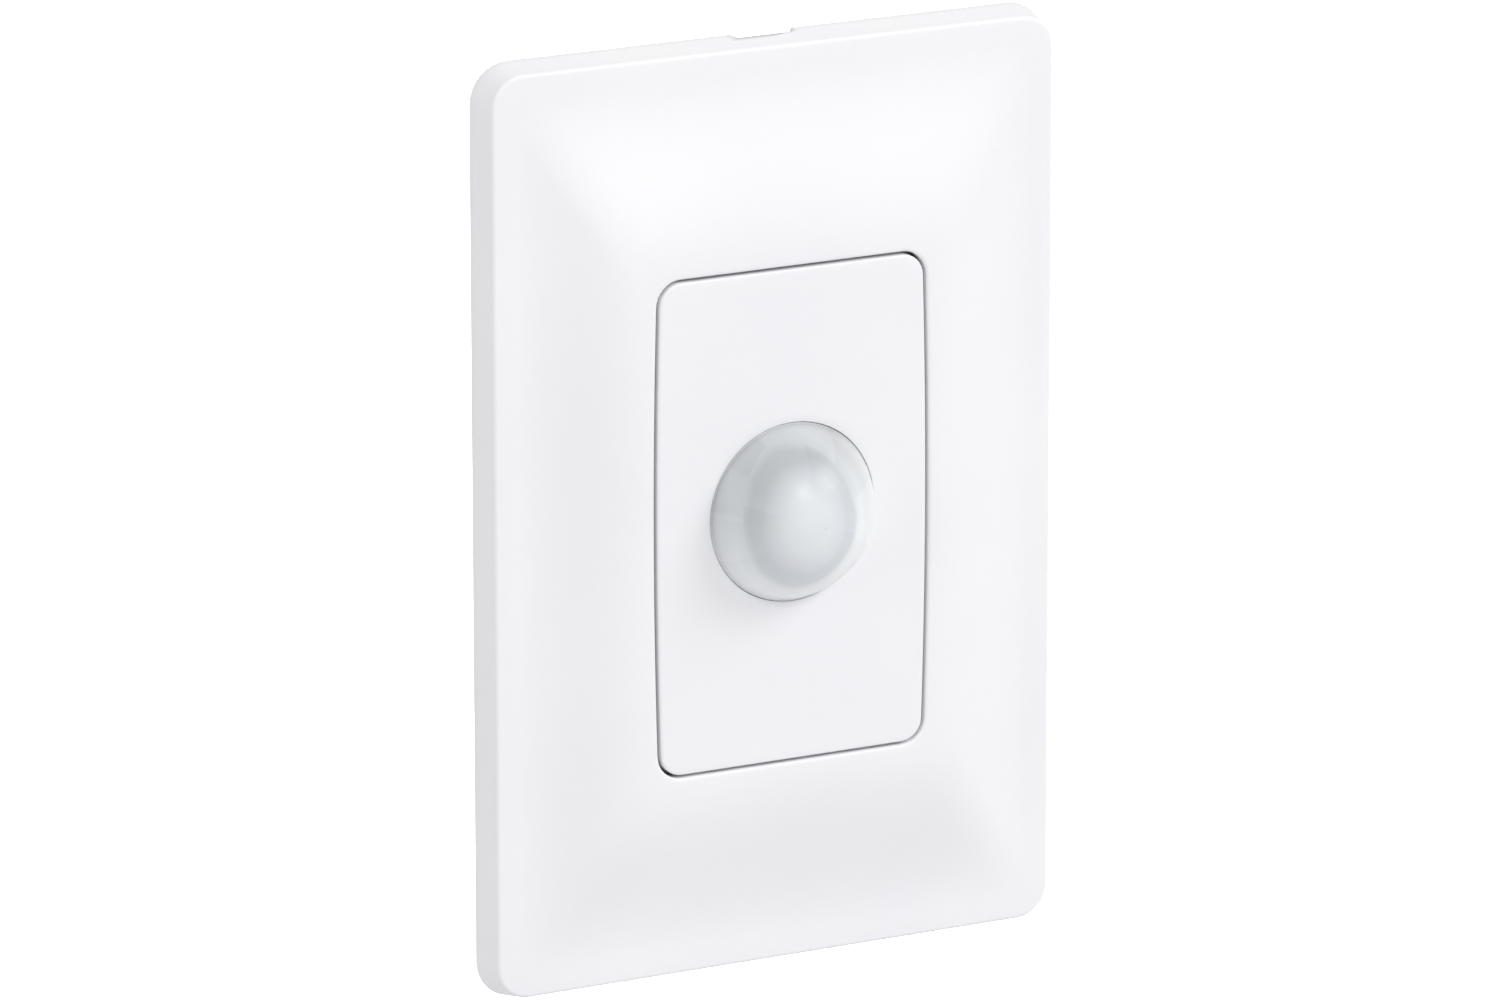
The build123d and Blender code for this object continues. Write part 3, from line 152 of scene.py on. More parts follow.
sky = bpy.data.worlds.new("white_sky")
sky.use_nodes = True
sky_light = sky.node_tree.nodes["Background"].inputs
sky_light["Color"].default_value = linear("FFFFFF")
sky_light["Strength"].default_value = sky_strength
bpy.context.scene.world = sky
for name, spot, aim, side, power, spread in (
    ("key_lamp", (1.26, -1.05, 1.14), (0, 0, 0), 0.85, 13.0, 180),
    ("front_lamp", (0.04, -1.27, 0.79), (0, 0, 0), 0.3, 3.55, 180),
    ("left_lamp", (-2.2, -0.45, 0.45), (0, 0, 0), 1.4, 7.4, 180),
    ("floor_lamp", (1.1, 2.1, 1.0), (1.1, 2.1, -floor_drop), 2.4, 85.0, 70),
):
    lamp = bpy.data.lights.new(name, "AREA")
    lamp.shape, lamp.size, lamp.energy = "SQUARE", side, power
    lamp.spread = math.radians(spread)
    holder = bpy.data.objects.new(name, lamp)
    holder.location = spot
    holder.rotation_mode = "QUATERNION"
    holder.rotation_quaternion = (Vector(spot) - Vector(aim)).to_track_quat("Z", "Y")
    bpy.context.scene.collection.objects.link(holder)

# Cover plate: one thin moulding of white ABS with a satin face, pushed onto the frame with four legs.
# Its side walls are drafted, its face has a flat rim and then swells up to the window, and a pry
# notch is moulded in the top edge. Its window is a little wider than the solid's, as the photo shows.
plate_half = (40.0, 60.0)
plate_corner = 5.2
plate_side_depth, plate_side_inset, plate_wall = 4.6, 1.05, 1.8
# (distance from the wall, extra inset) along the small round at the plate's foot
plate_foot = ((0.0, 0.12), (0.04, 0.04), (0.14, 0.0))
plate_edge_round, plate_edge_run = 0.42, 0.1
plate_rim, plate_rise, plateau_width, plateau_corner_grow = 3.0, 4.33, 1.2, 0.6
foot_lead, foot_corner_step = 0.25, 0.02
window_half, window_bow, window_corner = (19.27, 32.0), 0.53, 3.2
# (distance outside the window, drop below the face) along the round of the window's edge
window_edge = ((0.8, 0.0), (0.42, 0.005), (0.26, 0.03), (0.13, 0.09), (0.04, 0.18), (0.0, 0.3), (0.0, 1.0))
window_chamfer = 0.15
under_round, under_corner_steps, rear_chamfer = 0.3, (0.6, 0.5), 0.1
side_steps, edge_steps, swell_steps, under_steps = 4, 7, 40, 20
face_out = plate_side_depth + plate_rise
notch_half, notch_floor_half, notch_depth = 4.4, 3.5, 1.2
leg_column, leg_row, leg_side, leg_width, leg_tip_out = 28.35, 41.75, 1.4, 6.0, 0.5
leg_tip_length, leg_tip_narrowing, leg_tip_thinning = 0.9, 0.7, 0.35
leg_root_share, leg_root_sink = 0.55, 0.4
notch_rear, notch_flare, notch_above, notch_below = 0.6, 0.5, 3, plate_wall + 1
noise_middle = 0.3, 0.7


def outline(half, corner, bow=0.0, straight=14, turn=9):
    """Points (x, z) of an upright rounded rectangle, counter-clockwise, bowed on its long sides."""
    a, b = half
    in_x, in_z = a - corner, b - corner
    points = []
    for sx, sz, start, run_end in (
        (1, 1, 0, (-in_x, b)), (-1, 1, 90, (-a, -in_z)), (-1, -1, 180, (in_x, -b)), (1, -1, 270, (a, in_z)),
    ):
        for i in range(turn):
            t = math.radians(start + 90 * i / (turn - 1))
            points.append((sx * in_x + corner * math.cos(t), sz * in_z + corner * math.sin(t)))
        run_start = points[-1]
        for i in range(1, straight):
            points.append(tuple(p + i / straight * (q - p) for p, q in zip(run_start, run_end)))
    return [(x - math.copysign(bow * (z / b) ** 2 * min(1, abs(x) / in_x), x), z) for x, z in points]


def loft(rings, closed=True):
    """Points and faces of a skin through rings of as many points (x, out, z) each, from rear to front."""
    n = len(rings[0])
    verts = [(x, -out, z) for ring in rings for x, out, z in ring]
    faces = []
    for r in range(len(rings) if closed else len(rings) - 1):
        p, q = r * n, (r + 1) % len(rings) * n
        faces += [(p + i, p + (i + 1) % n, q + (i + 1) % n, q + i) for i in range(n)]
    return verts, faces


def ring_at(half, corner, out, bow=0.0):
    """An outline at one distance in front of the wall."""
    return [(x, out, z) for x, z in outline(half, corner, bow)]


def swell(share):
    """Height of the plate's swell at a share of the way from the rim to the window."""
    return plate_rise * share ** 2 * (3 - 2 * share)


def grown(half, more):
    """The half sizes of an outline that is wider all round, or narrower with a negative number."""
    return tuple(h + more for h in half)


def plate_rings():
    """The plate's section, carried round: side, rim, swell, window and back along the underside."""
    slope = plate_side_inset / plate_side_depth
    foot = grown(plate_half, -plate_side_inset - plate_rim)
    foot_corner = plate_corner - plate_side_inset
    plateau, plateau_corner = grown(window_half, plateau_width), window_corner + plateau_corner_grow

    def inset_ring(inset, out):
        return ring_at(grown(plate_half, -inset), plate_corner - inset, out)

    def swell_ring(share, drop):
        half = tuple(f + share * (p - f) for f, p in zip(foot, plateau))
        corner = foot_corner + share * (plateau_corner - foot_corner)
        return ring_at(half, corner, plate_side_depth + swell(share) - drop)

    rings = [inset_ring(out * slope + extra, out) for out, extra in plate_foot]
    low, high = plate_foot[-1][0], plate_side_depth - plate_edge_round
    for i in range(1, side_steps + 1):
        out = low + (high - low) * i / side_steps
        rings.append(inset_ring(out * slope, out))
    for i in range(1, edge_steps + 1):
        t = math.radians(90 * i / edge_steps)
        inset = high * slope + (plate_edge_round + plate_edge_run) * (1 - math.cos(t))
        rings.append(inset_ring(inset, plate_side_depth - plate_edge_round * (1 - math.sin(t))))
    rings.append(ring_at(grown(foot, foot_lead), foot_corner - foot_corner_step, plate_side_depth))
    rings += [swell_ring(i / swell_steps, 0) for i in range(swell_steps + 1)]

    window_back = plate_wall - window_chamfer
    for grow, drop in (*window_edge, (0.0, window_back), (window_chamfer, plate_wall)):
        rings.append(ring_at(grown(window_half, grow), window_corner + grow, face_out - drop, window_bow))
    rings += [swell_ring(i / under_steps, plate_wall) for i in range(under_steps, -1, -1)]

    rim_under_out, inner_corner = plate_side_depth - plate_wall, plate_corner - plate_wall
    inner_inset = plate_wall + rim_under_out * slope
    for inset, corner_step, out in (
        (inner_inset + under_round, under_corner_steps[0], rim_under_out),
        (inner_inset, under_corner_steps[1], rim_under_out - under_round),
        (plate_wall, 0, rear_chamfer),
        (plate_wall - rear_chamfer, 0, 0.0),
    ):
        rings.append(ring_at(grown(plate_half, -inset), inner_corner - corner_step, out))
    return rings


def prism(points, low, high):
    """Closed prism of a counter-clockwise outline (x, z), between two distances in front of the wall."""
    n = len(points)
    verts = [(x, -low, z) for x, z in points] + [(x, -high, z) for x, z in points]
    faces = [(i, (i + 1) % n, n + (i + 1) % n, n + i) for i in range(n)]
    return verts, faces + [tuple(range(n))[::-1], tuple(range(n, 2 * n))]


def together(*parts):
    """Several closed shells as one list of points and faces."""
    verts, faces = [], []
    for more_verts, more_faces in parts:
        faces += [tuple(len(verts) + i for i in f) for f in more_faces]
        verts += more_verts
    return verts, faces


def leg(x, z):
    """One leg: a flat tongue with a tapered tip."""
    w, t = leg_width / 2, leg_side / 2
    root_out = plate_side_depth + swell(leg_root_share) - plate_wall + leg_root_sink
    tongue = []
    for out, half_w, half_t in (
        (leg_tip_out, w - leg_tip_narrowing, t - leg_tip_thinning), (leg_tip_out + leg_tip_length, w, t),
        (root_out, w, t),
    ):
        tongue.append([(x + sx * half_t, out, z + sz * half_w) for sx, sz in corners])
    verts, faces = loft(tongue, closed=False)
    return verts, faces + [(3, 2, 1, 0), (8, 9, 10, 11)]


def two_tones(tree, share, tones):
    """A colour that goes from one tone to another over the middle of a noise's range."""
    ramp = add_node(tree, "ShaderNodeValToRGB", {"Fac": share})
    for element, position, tone in zip(ramp.color_ramp.elements, noise_middle, tones):
        element.position, element.color = position, linear(tone)
    return ramp.outputs["Color"]


def relief(tree, height, strength, depth_mm):
    """The bumpy normal that a height gives."""
    inputs = {"Height": height, "Strength": strength, "Distance": depth_mm / 1000}
    return add_node(tree, "ShaderNodeBump", inputs).outputs["Normal"]


def moulded_plastic(name, tones, grain_mm, wave_mm, roughness, ior=1.53, depth_mm=0.02, shine=0.35,
                    scatter=0.0):
    """Plastic with slow waves of two tones, and a fine eroded grain in its sheen and relief."""
    material, tree, place = new_material(name)
    grain = noise(tree, place, grain_mm, 2, Roughness=0.6)["Fac"]
    waves = noise(tree, place, wave_mm, 1.5)["Fac"]
    surface(tree, {
        "Base Color": two_tones(tree, waves, tones),
        "Roughness": ranged(tree, grain, *roughness, *noise_middle),
        "Normal": relief(tree, grain, 0.05, depth_mm),
        "IOR": ior, "Specular IOR Level": shine, "Subsurface Weight": scatter, "Subsurface Scale": 0.0005,
    })
    return material


# Moulded ABS: an even white with a faint cool tone, a soft broad sheen and a fine eroded grain.
# The grain is really about 0.05 mm across, too fine to show, so it is drawn at 0.35 mm.
abs_plate = moulded_plastic("satin_white_abs_moulding", ("F2F2F5", "F5F5F6"), 0.35, 28, (0.36, 0.42))

legs = [leg(sx * leg_column, sz * leg_row) for sx, sz in corners]
plate = new_piece("cover_plate_moulding", *together(loft(plate_rings()), *legs), abs_plate, smooth_angle=28)
notch_section = [
    (-notch_half - notch_flare, notch_rear), (notch_half + notch_flare, notch_rear), (notch_half, 0),
    (notch_floor_half, -notch_depth), (-notch_floor_half, -notch_depth), (-notch_half, 0),
]
notch_tool = new_piece(
    "notch_tool",
    [(x, y, z) for z in (plate_half[1] + notch_above, plate_half[1] - notch_below) for x, y in notch_section],
    [(5, 4, 3, 2, 1, 0), (6, 7, 8, 9, 10, 11)] + [(i, (i + 1) % 6, 6 + (i + 1) % 6, 6 + i) for i in range(6)],
    abs_plate,
)


def settled(piece):
    """Turns a piece's modifiers into its plain mesh and takes them off."""
    depsgraph = bpy.context.evaluated_depsgraph_get()
    old = piece.data
    made = bpy.data.meshes.new_from_object(piece.evaluated_get(depsgraph), depsgraph=depsgraph)
    piece.modifiers.clear()
    piece.data = made
    made.name = piece.name
    bpy.data.meshes.remove(old)


def cut_away(piece, tool):
    """Cuts a tool's shape out of a piece. The tool is used up."""
    cut = piece.modifiers.new("cut", "BOOLEAN")
    cut.operation, cut.solver, cut.object = "DIFFERENCE", "EXACT", tool
    settled(piece)
    bpy.data.objects.remove(tool)


cut_away(plate, notch_tool)
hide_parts("cover_plate")
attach(plate, "cover_plate")

# Front cover of the sensor module: the white moulding that fills the plate's window, slightly bowed
# on its long sides, with a round hole for the dome. Behind it are a skirt, pegs and stakes for the
# boards and four sprung hooks that hold it in the rear housing.
cover_gap_side, cover_gap_end = 0.45, 0.42
cover_half = (window_half[0] - cover_gap_side, window_half[1] - cover_gap_end)
cover_corner = window_corner - cover_gap_end
cover_back_out, cover_wall, cover_skirt = 5.0, 1.8, 1.6
cover_chamfer, cover_edge_round, cover_edge_steps, skirt_chamfer = 0.1, 0.3, 5, 0.2
face_shares, under_shares = (0.04, 0.2, 0.4, 0.6, 0.8, 0.95), (0.3, 0.6, 0.97)
under_out = face_out - cover_wall
dome_raise, dome_hole, dome_sphere = 0.48, 11.55, 11.498
hole_round, hole_round_share = 0.1, 0.3
peg_column, peg_row, peg_radius, board_out = 12.4, 24.4, 1.3, 1.6
stake_circle, stake_radius, stake_tip_out = 14.798, 0.8, 4.13
post_sink, post_chamfer, post_sides = 0.3, 0.2, 24
hook_column, hook_row, hook_width, hook_side, hook_tip_in = 14.55, 17.752, 5.0, 1.3, 3.2
barb_reach, barb_front_in, barb_rear_in = 0.95, 1.2, 1.9


def hole_ring(radius, out, shape):
    """A ring round the dome's hole, at the same angles as an outline's points, so that both can be lofted."""
    turns = [math.atan2(z * cover_half[0] / cover_half[1], x) for x, z in shape]
    return [(radius * math.cos(t), out, dome_raise + radius * math.sin(t)) for t in turns]


def between(ring_a, ring_b, share):
    """A ring at a share of the way from one ring to another."""
    return [tuple(p + share * (q - p) for p, q in zip(a, b)) for a, b in zip(ring_a, ring_b)]


def cover_rings():
    """The cover's section carried round: skirt, edge, face, hole, underside and back down the skirt."""
    shape = outline(cover_half, cover_corner)

    def edge_ring(shrink, out):
        return ring_at(grown(cover_half, -shrink), cover_corner - shrink, out, window_bow)

    rings = [edge_ring(cover_chamfer, cover_back_out), edge_ring(0, cover_back_out + cover_chamfer),
             edge_ring(0, face_out - cover_edge_round)]
    for i in range(1, cover_edge_steps + 1):
        t = math.radians(90 * i / cover_edge_steps)
        rings.append(edge_ring(cover_edge_round * (1 - math.cos(t)),
                               face_out - cover_edge_round * (1 - math.sin(t))))
    rim, hole = rings[-1], hole_ring(dome_hole + hole_round, face_out, shape)
    rings += [between(rim, hole, share) for share in face_shares] + [hole]
    step = hole_round_share * hole_round
    for grow, out in ((step, face_out - step), (0, face_out - hole_round), (0, under_out)):
        rings.append(hole_ring(dome_hole + grow, out, shape))
    inner = (cover_half[0] - cover_skirt - window_bow, cover_half[1] - cover_skirt)
    inner_corner = cover_corner - cover_skirt / 2
    hole, skirt = rings[-1], ring_at(inner, inner_corner, under_out)
    rings += [between(hole, skirt, share) for share in under_shares]
    rings += [ring_at(inner, inner_corner, out) for out in (under_out - skirt_chamfer, cover_back_out)]
    return rings


def round_post(x, z, radius, tip_out):
    """A moulded post from the cover's underside to the rear, with a small chamfer on its tip."""
    turns = [2 * math.pi * i / post_sides for i in range(post_sides)]
    root_out = under_out + post_sink
    rings = []
    for out, r in ((tip_out, radius - post_chamfer), (tip_out + post_chamfer, radius), (root_out, radius)):
        rings.append([(x + r * math.cos(t), out, z + r * math.sin(t)) for t in turns])
    verts, faces = loft(rings, closed=False)
    return verts, faces + [tuple(range(post_sides))[::-1], tuple(range(2 * post_sides, 3 * post_sides))]


def hook(side, z):
    """A sprung hook: a flat arm from the cover's underside with a ramped barb outward at its tip."""
    x0, x1 = side * (hook_column - hook_side / 2), side * (hook_column + hook_side / 2)
    barb = x1 + side * barb_reach
    arm = [(x0, under_out), (x0, -hook_tip_in), (x1, -hook_tip_in), (barb, -barb_rear_in),
           (barb, -barb_front_in), (x1, -barb_front_in), (x1, under_out)]
    if side > 0:
        arm = arm[::-1]
    n = len(arm)
    verts = [(x, -out, end) for end in (z - hook_width / 2, z + hook_width / 2) for x, out in arm]
    faces = [(i, n + i, n + (i + 1) % n, (i + 1) % n) for i in range(n)]
    return verts, faces + [tuple(range(n)), tuple(range(n, 2 * n))[::-1]]


# The same ABS as the plate from another shot of resin: a little greyer, with a slightly silkier sheen.
# Its eroded grain of about 0.05 mm is drawn at 0.4 mm so that it can show.
abs_cover = moulded_plastic("satin_white_abs_module_moulding", ("F2F2F5", "F4F4F6"), 0.4, 20, (0.34, 0.4))

stake_reach = stake_circle * math.sqrt(0.5)
posts = []
for sx, sz in corners:
    posts.append(round_post(sx * peg_column, sz * peg_row, peg_radius, board_out))
    posts.append(round_post(sx * stake_reach, dome_raise + sz * stake_reach, stake_radius, stake_tip_out))
    posts.append(hook(sx, sz * hook_row))
cover = new_piece("sensor_module_front", *together(loft(cover_rings()), *posts), abs_cover, smooth_angle=30)
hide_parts("front_cover")
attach(cover, "switch_body")

# Dome lens: a thin shell moulded from milky high-density polyethylene, which lets body heat through.
# Its outside is smooth and waxy. Its inside carries rings of fine lens grooves, set in one middle
# field and a belt of outer fields, which show through the shell as fainter and brighter patches.
dome_apex_out = 17.76
dome_centre_out = dome_apex_out - dome_sphere
lens_wall, lens_flange, lens_flange_side, lens_chamfer = 0.7, 1.3, 1.0, 0.1
collar_radius, collar_out, collar_chamfer, collar_step = dome_sphere - 0.04, face_out - 0.12, 0.08, 0.02
groove_count, groove_depth, groove_share = 26, 0.07, 0.85
lens_steps, lens_sides = 40, 128
# the angles where the outer and the inner skin end, close beside the pole
outer_end, inner_end = math.pi / 2 - 0.004, math.pi / 2 - 0.01


def turned(profile, centre_x, centre_z, sides):
    """Points and faces of a closed profile of (radius, out), turned about an axis to the front."""
    turns = [2 * math.pi * i / sides for i in range(sides)]
    verts, faces = [], []
    for r, out in profile:
        verts += [(centre_x + r * math.cos(t), -out, centre_z + r * math.sin(t)) for t in turns]
    for j in range(len(profile)):
        p, q = j * sides, (j + 1) % len(profile) * sides
        faces += [(p + i, p + (i + 1) % sides, q + (i + 1) % sides, q + i) for i in range(sides)]
    return verts, faces


def lens_profile():
    """The dome's section: flange, collar, smooth outside, and the grooves back down the inside."""
    flange_back = under_out - lens_flange_side
    edge, inner = dome_sphere + lens_flange, dome_sphere - lens_wall
    profile = [
        (edge - lens_chamfer, flange_back), (edge, flange_back + lens_chamfer),
        (edge, under_out - lens_chamfer), (edge - lens_chamfer, under_out),
        (collar_radius, under_out), (collar_radius, collar_out - collar_chamfer),
        (collar_radius - collar_chamfer, collar_out),
    ]

    def on_sphere(radius, t):
        return radius * math.cos(t), dome_centre_out + radius * math.sin(t)

    start = math.asin((collar_out + collar_step - dome_centre_out) / dome_sphere)
    for i in range(lens_steps + 1):
        profile.append(on_sphere(dome_sphere, start + (outer_end - start) * i / lens_steps))
    foot = math.asin((flange_back - dome_centre_out) / inner)
    pitch = (inner_end - foot) / groove_count
    for i in range(groove_count, 0, -1):
        profile.append(on_sphere(inner, foot + pitch * i))
        profile.append(on_sphere(inner - groove_depth, foot + pitch * (i - groove_share)))
    profile.append((inner * math.cos(foot), flange_back))
    return profile


def math_node(tree, operation, *inputs):
    """The result of a sum on values or sockets."""
    return add_node(tree, "ShaderNodeMath", dict(enumerate(inputs)), operation=operation).outputs[0]


def vector_node(tree, operation, *inputs):
    """The result of a sum on vectors, which is a plain value for a length or a dot product."""
    node = add_node(tree, "ShaderNodeVectorMath", dict(enumerate(inputs)), operation=operation)
    return node.outputs["Value" if operation in ("LENGTH", "DOT_PRODUCT") else "Vector"]


pe_lens, tree, place = new_material("milky_polyethylene_lens_moulding")
# High-density polyethylene: milky blue-grey and translucent, waxy, with a soft highlight. Light that
# enters it scatters about a millimetre. Its lens fields aren't centred on the dome: the middle field sits
# low and to the left, and its rim is the darkest, with a paler belt of outer fields round it.
field_x, field_z, field_half_x, field_half_z = -2.1, dome_raise + 0.75, 7.1, 9.2
field_sway_mm, field_sway_size, zones_end = 0.7, 5.0, 1.8
belt_fields, middle_fields = 11, 8
painted_light_tilt_per_metre = (42.0, 0, -82.0)
sway = vector_node(tree, "ADD", noise(tree, place, field_sway_size, 1)["Color"], (-0.5, -0.5, -0.5))
moved = vector_node(tree, "ADD", place, vector_node(tree, "MULTIPLY", sway, (field_sway_mm / 1000,) * 3))
centred = vector_node(tree, "ADD", moved, (-field_x / 1000, 0, -field_z / 1000))
parts = add_node(tree, "ShaderNodeSeparateXYZ", {"Vector": centred}).outputs
across = math_node(tree, "MULTIPLY", parts["X"], 1000 / field_half_x)
upward = math_node(tree, "MULTIPLY", parts["Z"], 1000 / field_half_z)
flat = add_node(tree, "ShaderNodeCombineXYZ", {"X": across, "Y": upward}).outputs["Vector"]
reach = vector_node(tree, "LENGTH", flat)
bearing = math_node(tree, "ARCTAN2", upward, across)
zones = add_node(tree, "ShaderNodeValToRGB", {"Fac": ranged(tree, reach, 0.0, 1.0, from_high=zones_end)})
ramp = zones.color_ramp.elements
ramp[0].color, ramp[1].color = linear("EBEFF2"), linear("F0F2F4")
for share, tone in (
    (0.22, "EAEEF1"), (0.36, "E1E4E8"), (0.43, "D8DCE0"), (0.51, "D7DCDF"), (0.56, "E8EBED"),
    (0.63, "EDF1F3"), (0.74, "E6E8EA"),
):
    ramp.new(share).color = linear(tone)


def sectors(count, start):
    """A random share for each of several sectors round the middle field."""
    sector = math_node(tree, "FLOOR", math_node(tree, "MULTIPLY_ADD", bearing, count / (2 * math.pi), start))
    return add_node(tree, "ShaderNodeTexWhiteNoise", {"W": sector}, noise_dimensions="1D").outputs[0]


field = add_node(tree, "ShaderNodeMix", {
    "Factor": math_node(tree, "GREATER_THAN", reach, 1.0),
    "A": sectors(middle_fields, 0.3), "B": sectors(belt_fields, 0.6),
}).outputs["Result"]
contrast = ranged(tree, reach, 0.0, 0.1, from_low=0.4)
shade = math_node(tree, "MULTIPLY_ADD", math_node(tree, "SUBTRACT", field, 0.5), contrast, 1.0)
# Painted shade and painted light in the base colour: darker at the top, where the dark hollow behind
# would show through, and brighter towards the lower right, where light coming in at the top would leave.
painted_light_slope = vector_node(tree, "DOT_PRODUCT", place, painted_light_tilt_per_metre)
painted_light_slope_outward = math_node(tree, "MULTIPLY", painted_light_slope, math_node(tree, "MINIMUM", reach, 1.0))
painted_light_factor = ranged(tree, painted_light_slope_outward, 0.71, 1.26, from_low=-0.65, from_high=0.8)
# The lens fields' milky tones, times the painted shade and painted light from above.
milk_with_painted_light = vector_node(tree, "MULTIPLY", zones.outputs["Color"], math_node(tree, "MULTIPLY", shade, painted_light_factor))
surface(tree, {
    "Base Color": milk_with_painted_light, "IOR": 1.54, "Roughness": 0.38, "Specular IOR Level": 0.4,
    "Subsurface Weight": 0.35, "Subsurface Scale": 0.001, "Subsurface Radius": (0.9, 0.95, 1.0),
    "Coat Weight": 0.16, "Coat Roughness": 0.2, "Coat IOR": 1.54,
})


def edited(mesh, change):
    """Changes a mesh by a function of its editable form."""
    shape = bmesh.new()
    shape.from_mesh(mesh)
    change(shape)
    shape.to_mesh(mesh)
    shape.free()


lens_shape = turned(lens_profile(), 0, dome_raise, lens_sides)
lens = new_piece("dome_lens_moulding", *lens_shape, pe_lens, smooth_angle=40)
edited(lens.data, lambda shape: bmesh.ops.recalc_face_normals(shape, faces=shape.faces))
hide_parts("fresnel_lens")
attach(lens, "switch_body")

# Lens retainer: a ring of natural nylon that presses the lens flange against the cover's rear. Its
# four ears are melted down over the cover's stakes. Seen only when the module is opened.
nylon = moulded_plastic("natural_white_nylon_moulding", ("E9E6DC", "EFEDE5"), 0.3, 9, (0.32, 0.42),
                        shine=0.4, scatter=0.2)
soft_angle, same_place_mm, flat_angle = 32, 0.002, 0.6


def even_shading(piece):
    """Smooth shading led by the big faces, so that flat walls with rounded edges stay flat."""
    smooth(piece.data, soft_angle)
    led = piece.modifiers.new("even_shading", "WEIGHTED_NORMAL")
    led.keep_sharp, led.weight = True, 100
    settled(piece)


def simplified(shape):
    """Merges points at the same place, and faces that lie in one plane."""
    bmesh.ops.remove_doubles(shape, verts=shape.verts, dist=same_place_mm / 1000)
    level = math.radians(flat_angle)
    bmesh.ops.dissolve_limit(shape, angle_limit=level, verts=shape.verts, edges=shape.edges)


def softened(node, name, material, edge_mm):
    """A copy of a CAD node with its sharp edges rounded, which then stands for the node."""
    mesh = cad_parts[node].data.copy()
    edited(mesh, simplified)
    mesh.name = name
    mesh.materials.clear()
    mesh.materials.append(material)
    piece = bpy.data.objects.new(name, mesh)
    bpy.context.scene.collection.objects.link(piece)
    rounding = piece.modifiers.new("rounding", "BEVEL")
    rounding.width, rounding.segments = edge_mm / 1000, 2
    rounding.limit_method, rounding.angle_limit = "ANGLE", math.radians(soft_angle)
    settled(piece)
    even_shading(piece)
    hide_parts(node)
    return piece


retainer = softened("lens_retainer", "lens_retainer_ring", nylon, 0.12)
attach(retainer, "switch_body")

# Support frame: the moulding screwed to the wall box, with ribs round its edge and across it, slots for
# the two screws and windows for the plate's legs. Tougher and a shade greyer than the plate.
frame_plastic = moulded_plastic("white_polycarbonate_frame_moulding", ("E6E7EA", "ECECEE"), 0.5, 25,
                                (0.4, 0.5), ior=1.585)
support = softened("support_frame", "support_frame_moulding", frame_plastic, 0.2)
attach(support, "switch_body")

# Rear housing: the box behind the wall that holds the boards and the terminals, moulded from white
# polycarbonate. On its rear are sunk dials with raised ticks round the trimmers, a gauge for the bared
# length of wire and plain numbers at the wire entries.
housing_plastic = moulded_plastic("white_polycarbonate_housing_moulding", ("E3E4E6", "E9E9EA"), 0.6, 22,
                                  (0.38, 0.5), ior=1.585, depth_mm=0.03)
housing_back_in, dial_column, dial_row = 27.6, 7.0, 17.6
dial_inner, dial_outer, dial_depth, dial_sides = 2.3, 4.6, 0.35, 64
tick_count, tick_sweep, tick_width, tick_height, tick_length, tick_sink = 11, 270, 0.28, 0.25, 1.1, 0.1
gauge_length, gauge_width, gauge_row = 8.0, 1.8, -3.5
numeral_size, numeral_depth, numeral_row, entry_column = 3.0, 0.25, -13.6, 9.0
tool_over = 1.0


def rectangle(width, height, z):
    """Outline (x, z) of a rectangle on the middle line."""
    return [(sx * width / 2, z + sz * height / 2) for sx, sz in corners]


def copies_tree(name, arc):
    """Geometry nodes that place copies of a unit: on a straight row, or on an arc about the depth axis."""
    tree = bpy.data.node_groups.new(name, "GeometryNodeTree")
    tree.interface.new_socket("Geometry", in_out="INPUT", socket_type="NodeSocketGeometry")
    for label, kind in (("Unit", "Object"), ("Count", "Int"), ("Start", "Vector"), ("Step", "Vector"),
                        ("Sweep", "Float"), ("Finish", "Material")):
        tree.interface.new_socket(label, in_out="INPUT", socket_type="NodeSocket" + kind)
    tree.interface.new_socket("Geometry", in_out="OUTPUT", socket_type="NodeSocketGeometry")
    given = add_node(tree, "NodeGroupInput").outputs
    line = add_node(tree, "GeometryNodeMeshLine",
                    {"Count": given["Count"], "Start Location": given["Start"], "Offset": given["Step"]})
    unit = add_node(tree, "GeometryNodeObjectInfo", {"Object": given["Unit"]})
    copies = add_node(tree, "GeometryNodeInstanceOnPoints",
                      {"Points": line.outputs["Mesh"], "Instance": unit.outputs["Geometry"]})
    if arc:
        number = add_node(tree, "GeometryNodeInputIndex").outputs["Index"]
        share = math_node(tree, "DIVIDE", number, math_node(tree, "SUBTRACT", given["Count"], 1.0))
        turn = math_node(tree, "MULTIPLY", math_node(tree, "SUBTRACT", share, 0.5), given["Sweep"])
        axis = add_node(tree, "ShaderNodeCombineXYZ", {"Y": turn})
        tree.links.new(axis.outputs["Vector"], copies.inputs["Rotation"])
    real = add_node(tree, "GeometryNodeRealizeInstances", {"Geometry": copies.outputs["Instances"]})
    finish = add_node(tree, "GeometryNodeSetMaterial",
                      {"Geometry": real.outputs["Geometry"], "Material": given["Finish"]})
    add_node(tree, "NodeGroupOutput", {"Geometry": finish.outputs["Geometry"]})
    return tree


row_of_copies, arc_of_copies = copies_tree("row_of_copies", False), copies_tree("arc_of_copies", True)


def copied(name, tree, unit, count, start, step, finish, sweep=0.0):
    """The copies that a tree makes of a unit, as a plain mesh. The unit itself is used up."""
    piece = new_piece(name, [(0, 0, 0)], [], finish)
    maker = piece.modifiers.new("copies", "NODES")
    maker.node_group = tree
    for label, value in (("Unit", unit), ("Count", count), ("Start", [c / 1000 for c in start]),
                         ("Step", [c / 1000 for c in step]), ("Sweep", sweep), ("Finish", finish)):
        maker[tree.interface.items_tree[label].identifier] = value
    settled(piece)
    bpy.data.objects.remove(unit)
    smooth(piece.data, angle=35)
    return piece


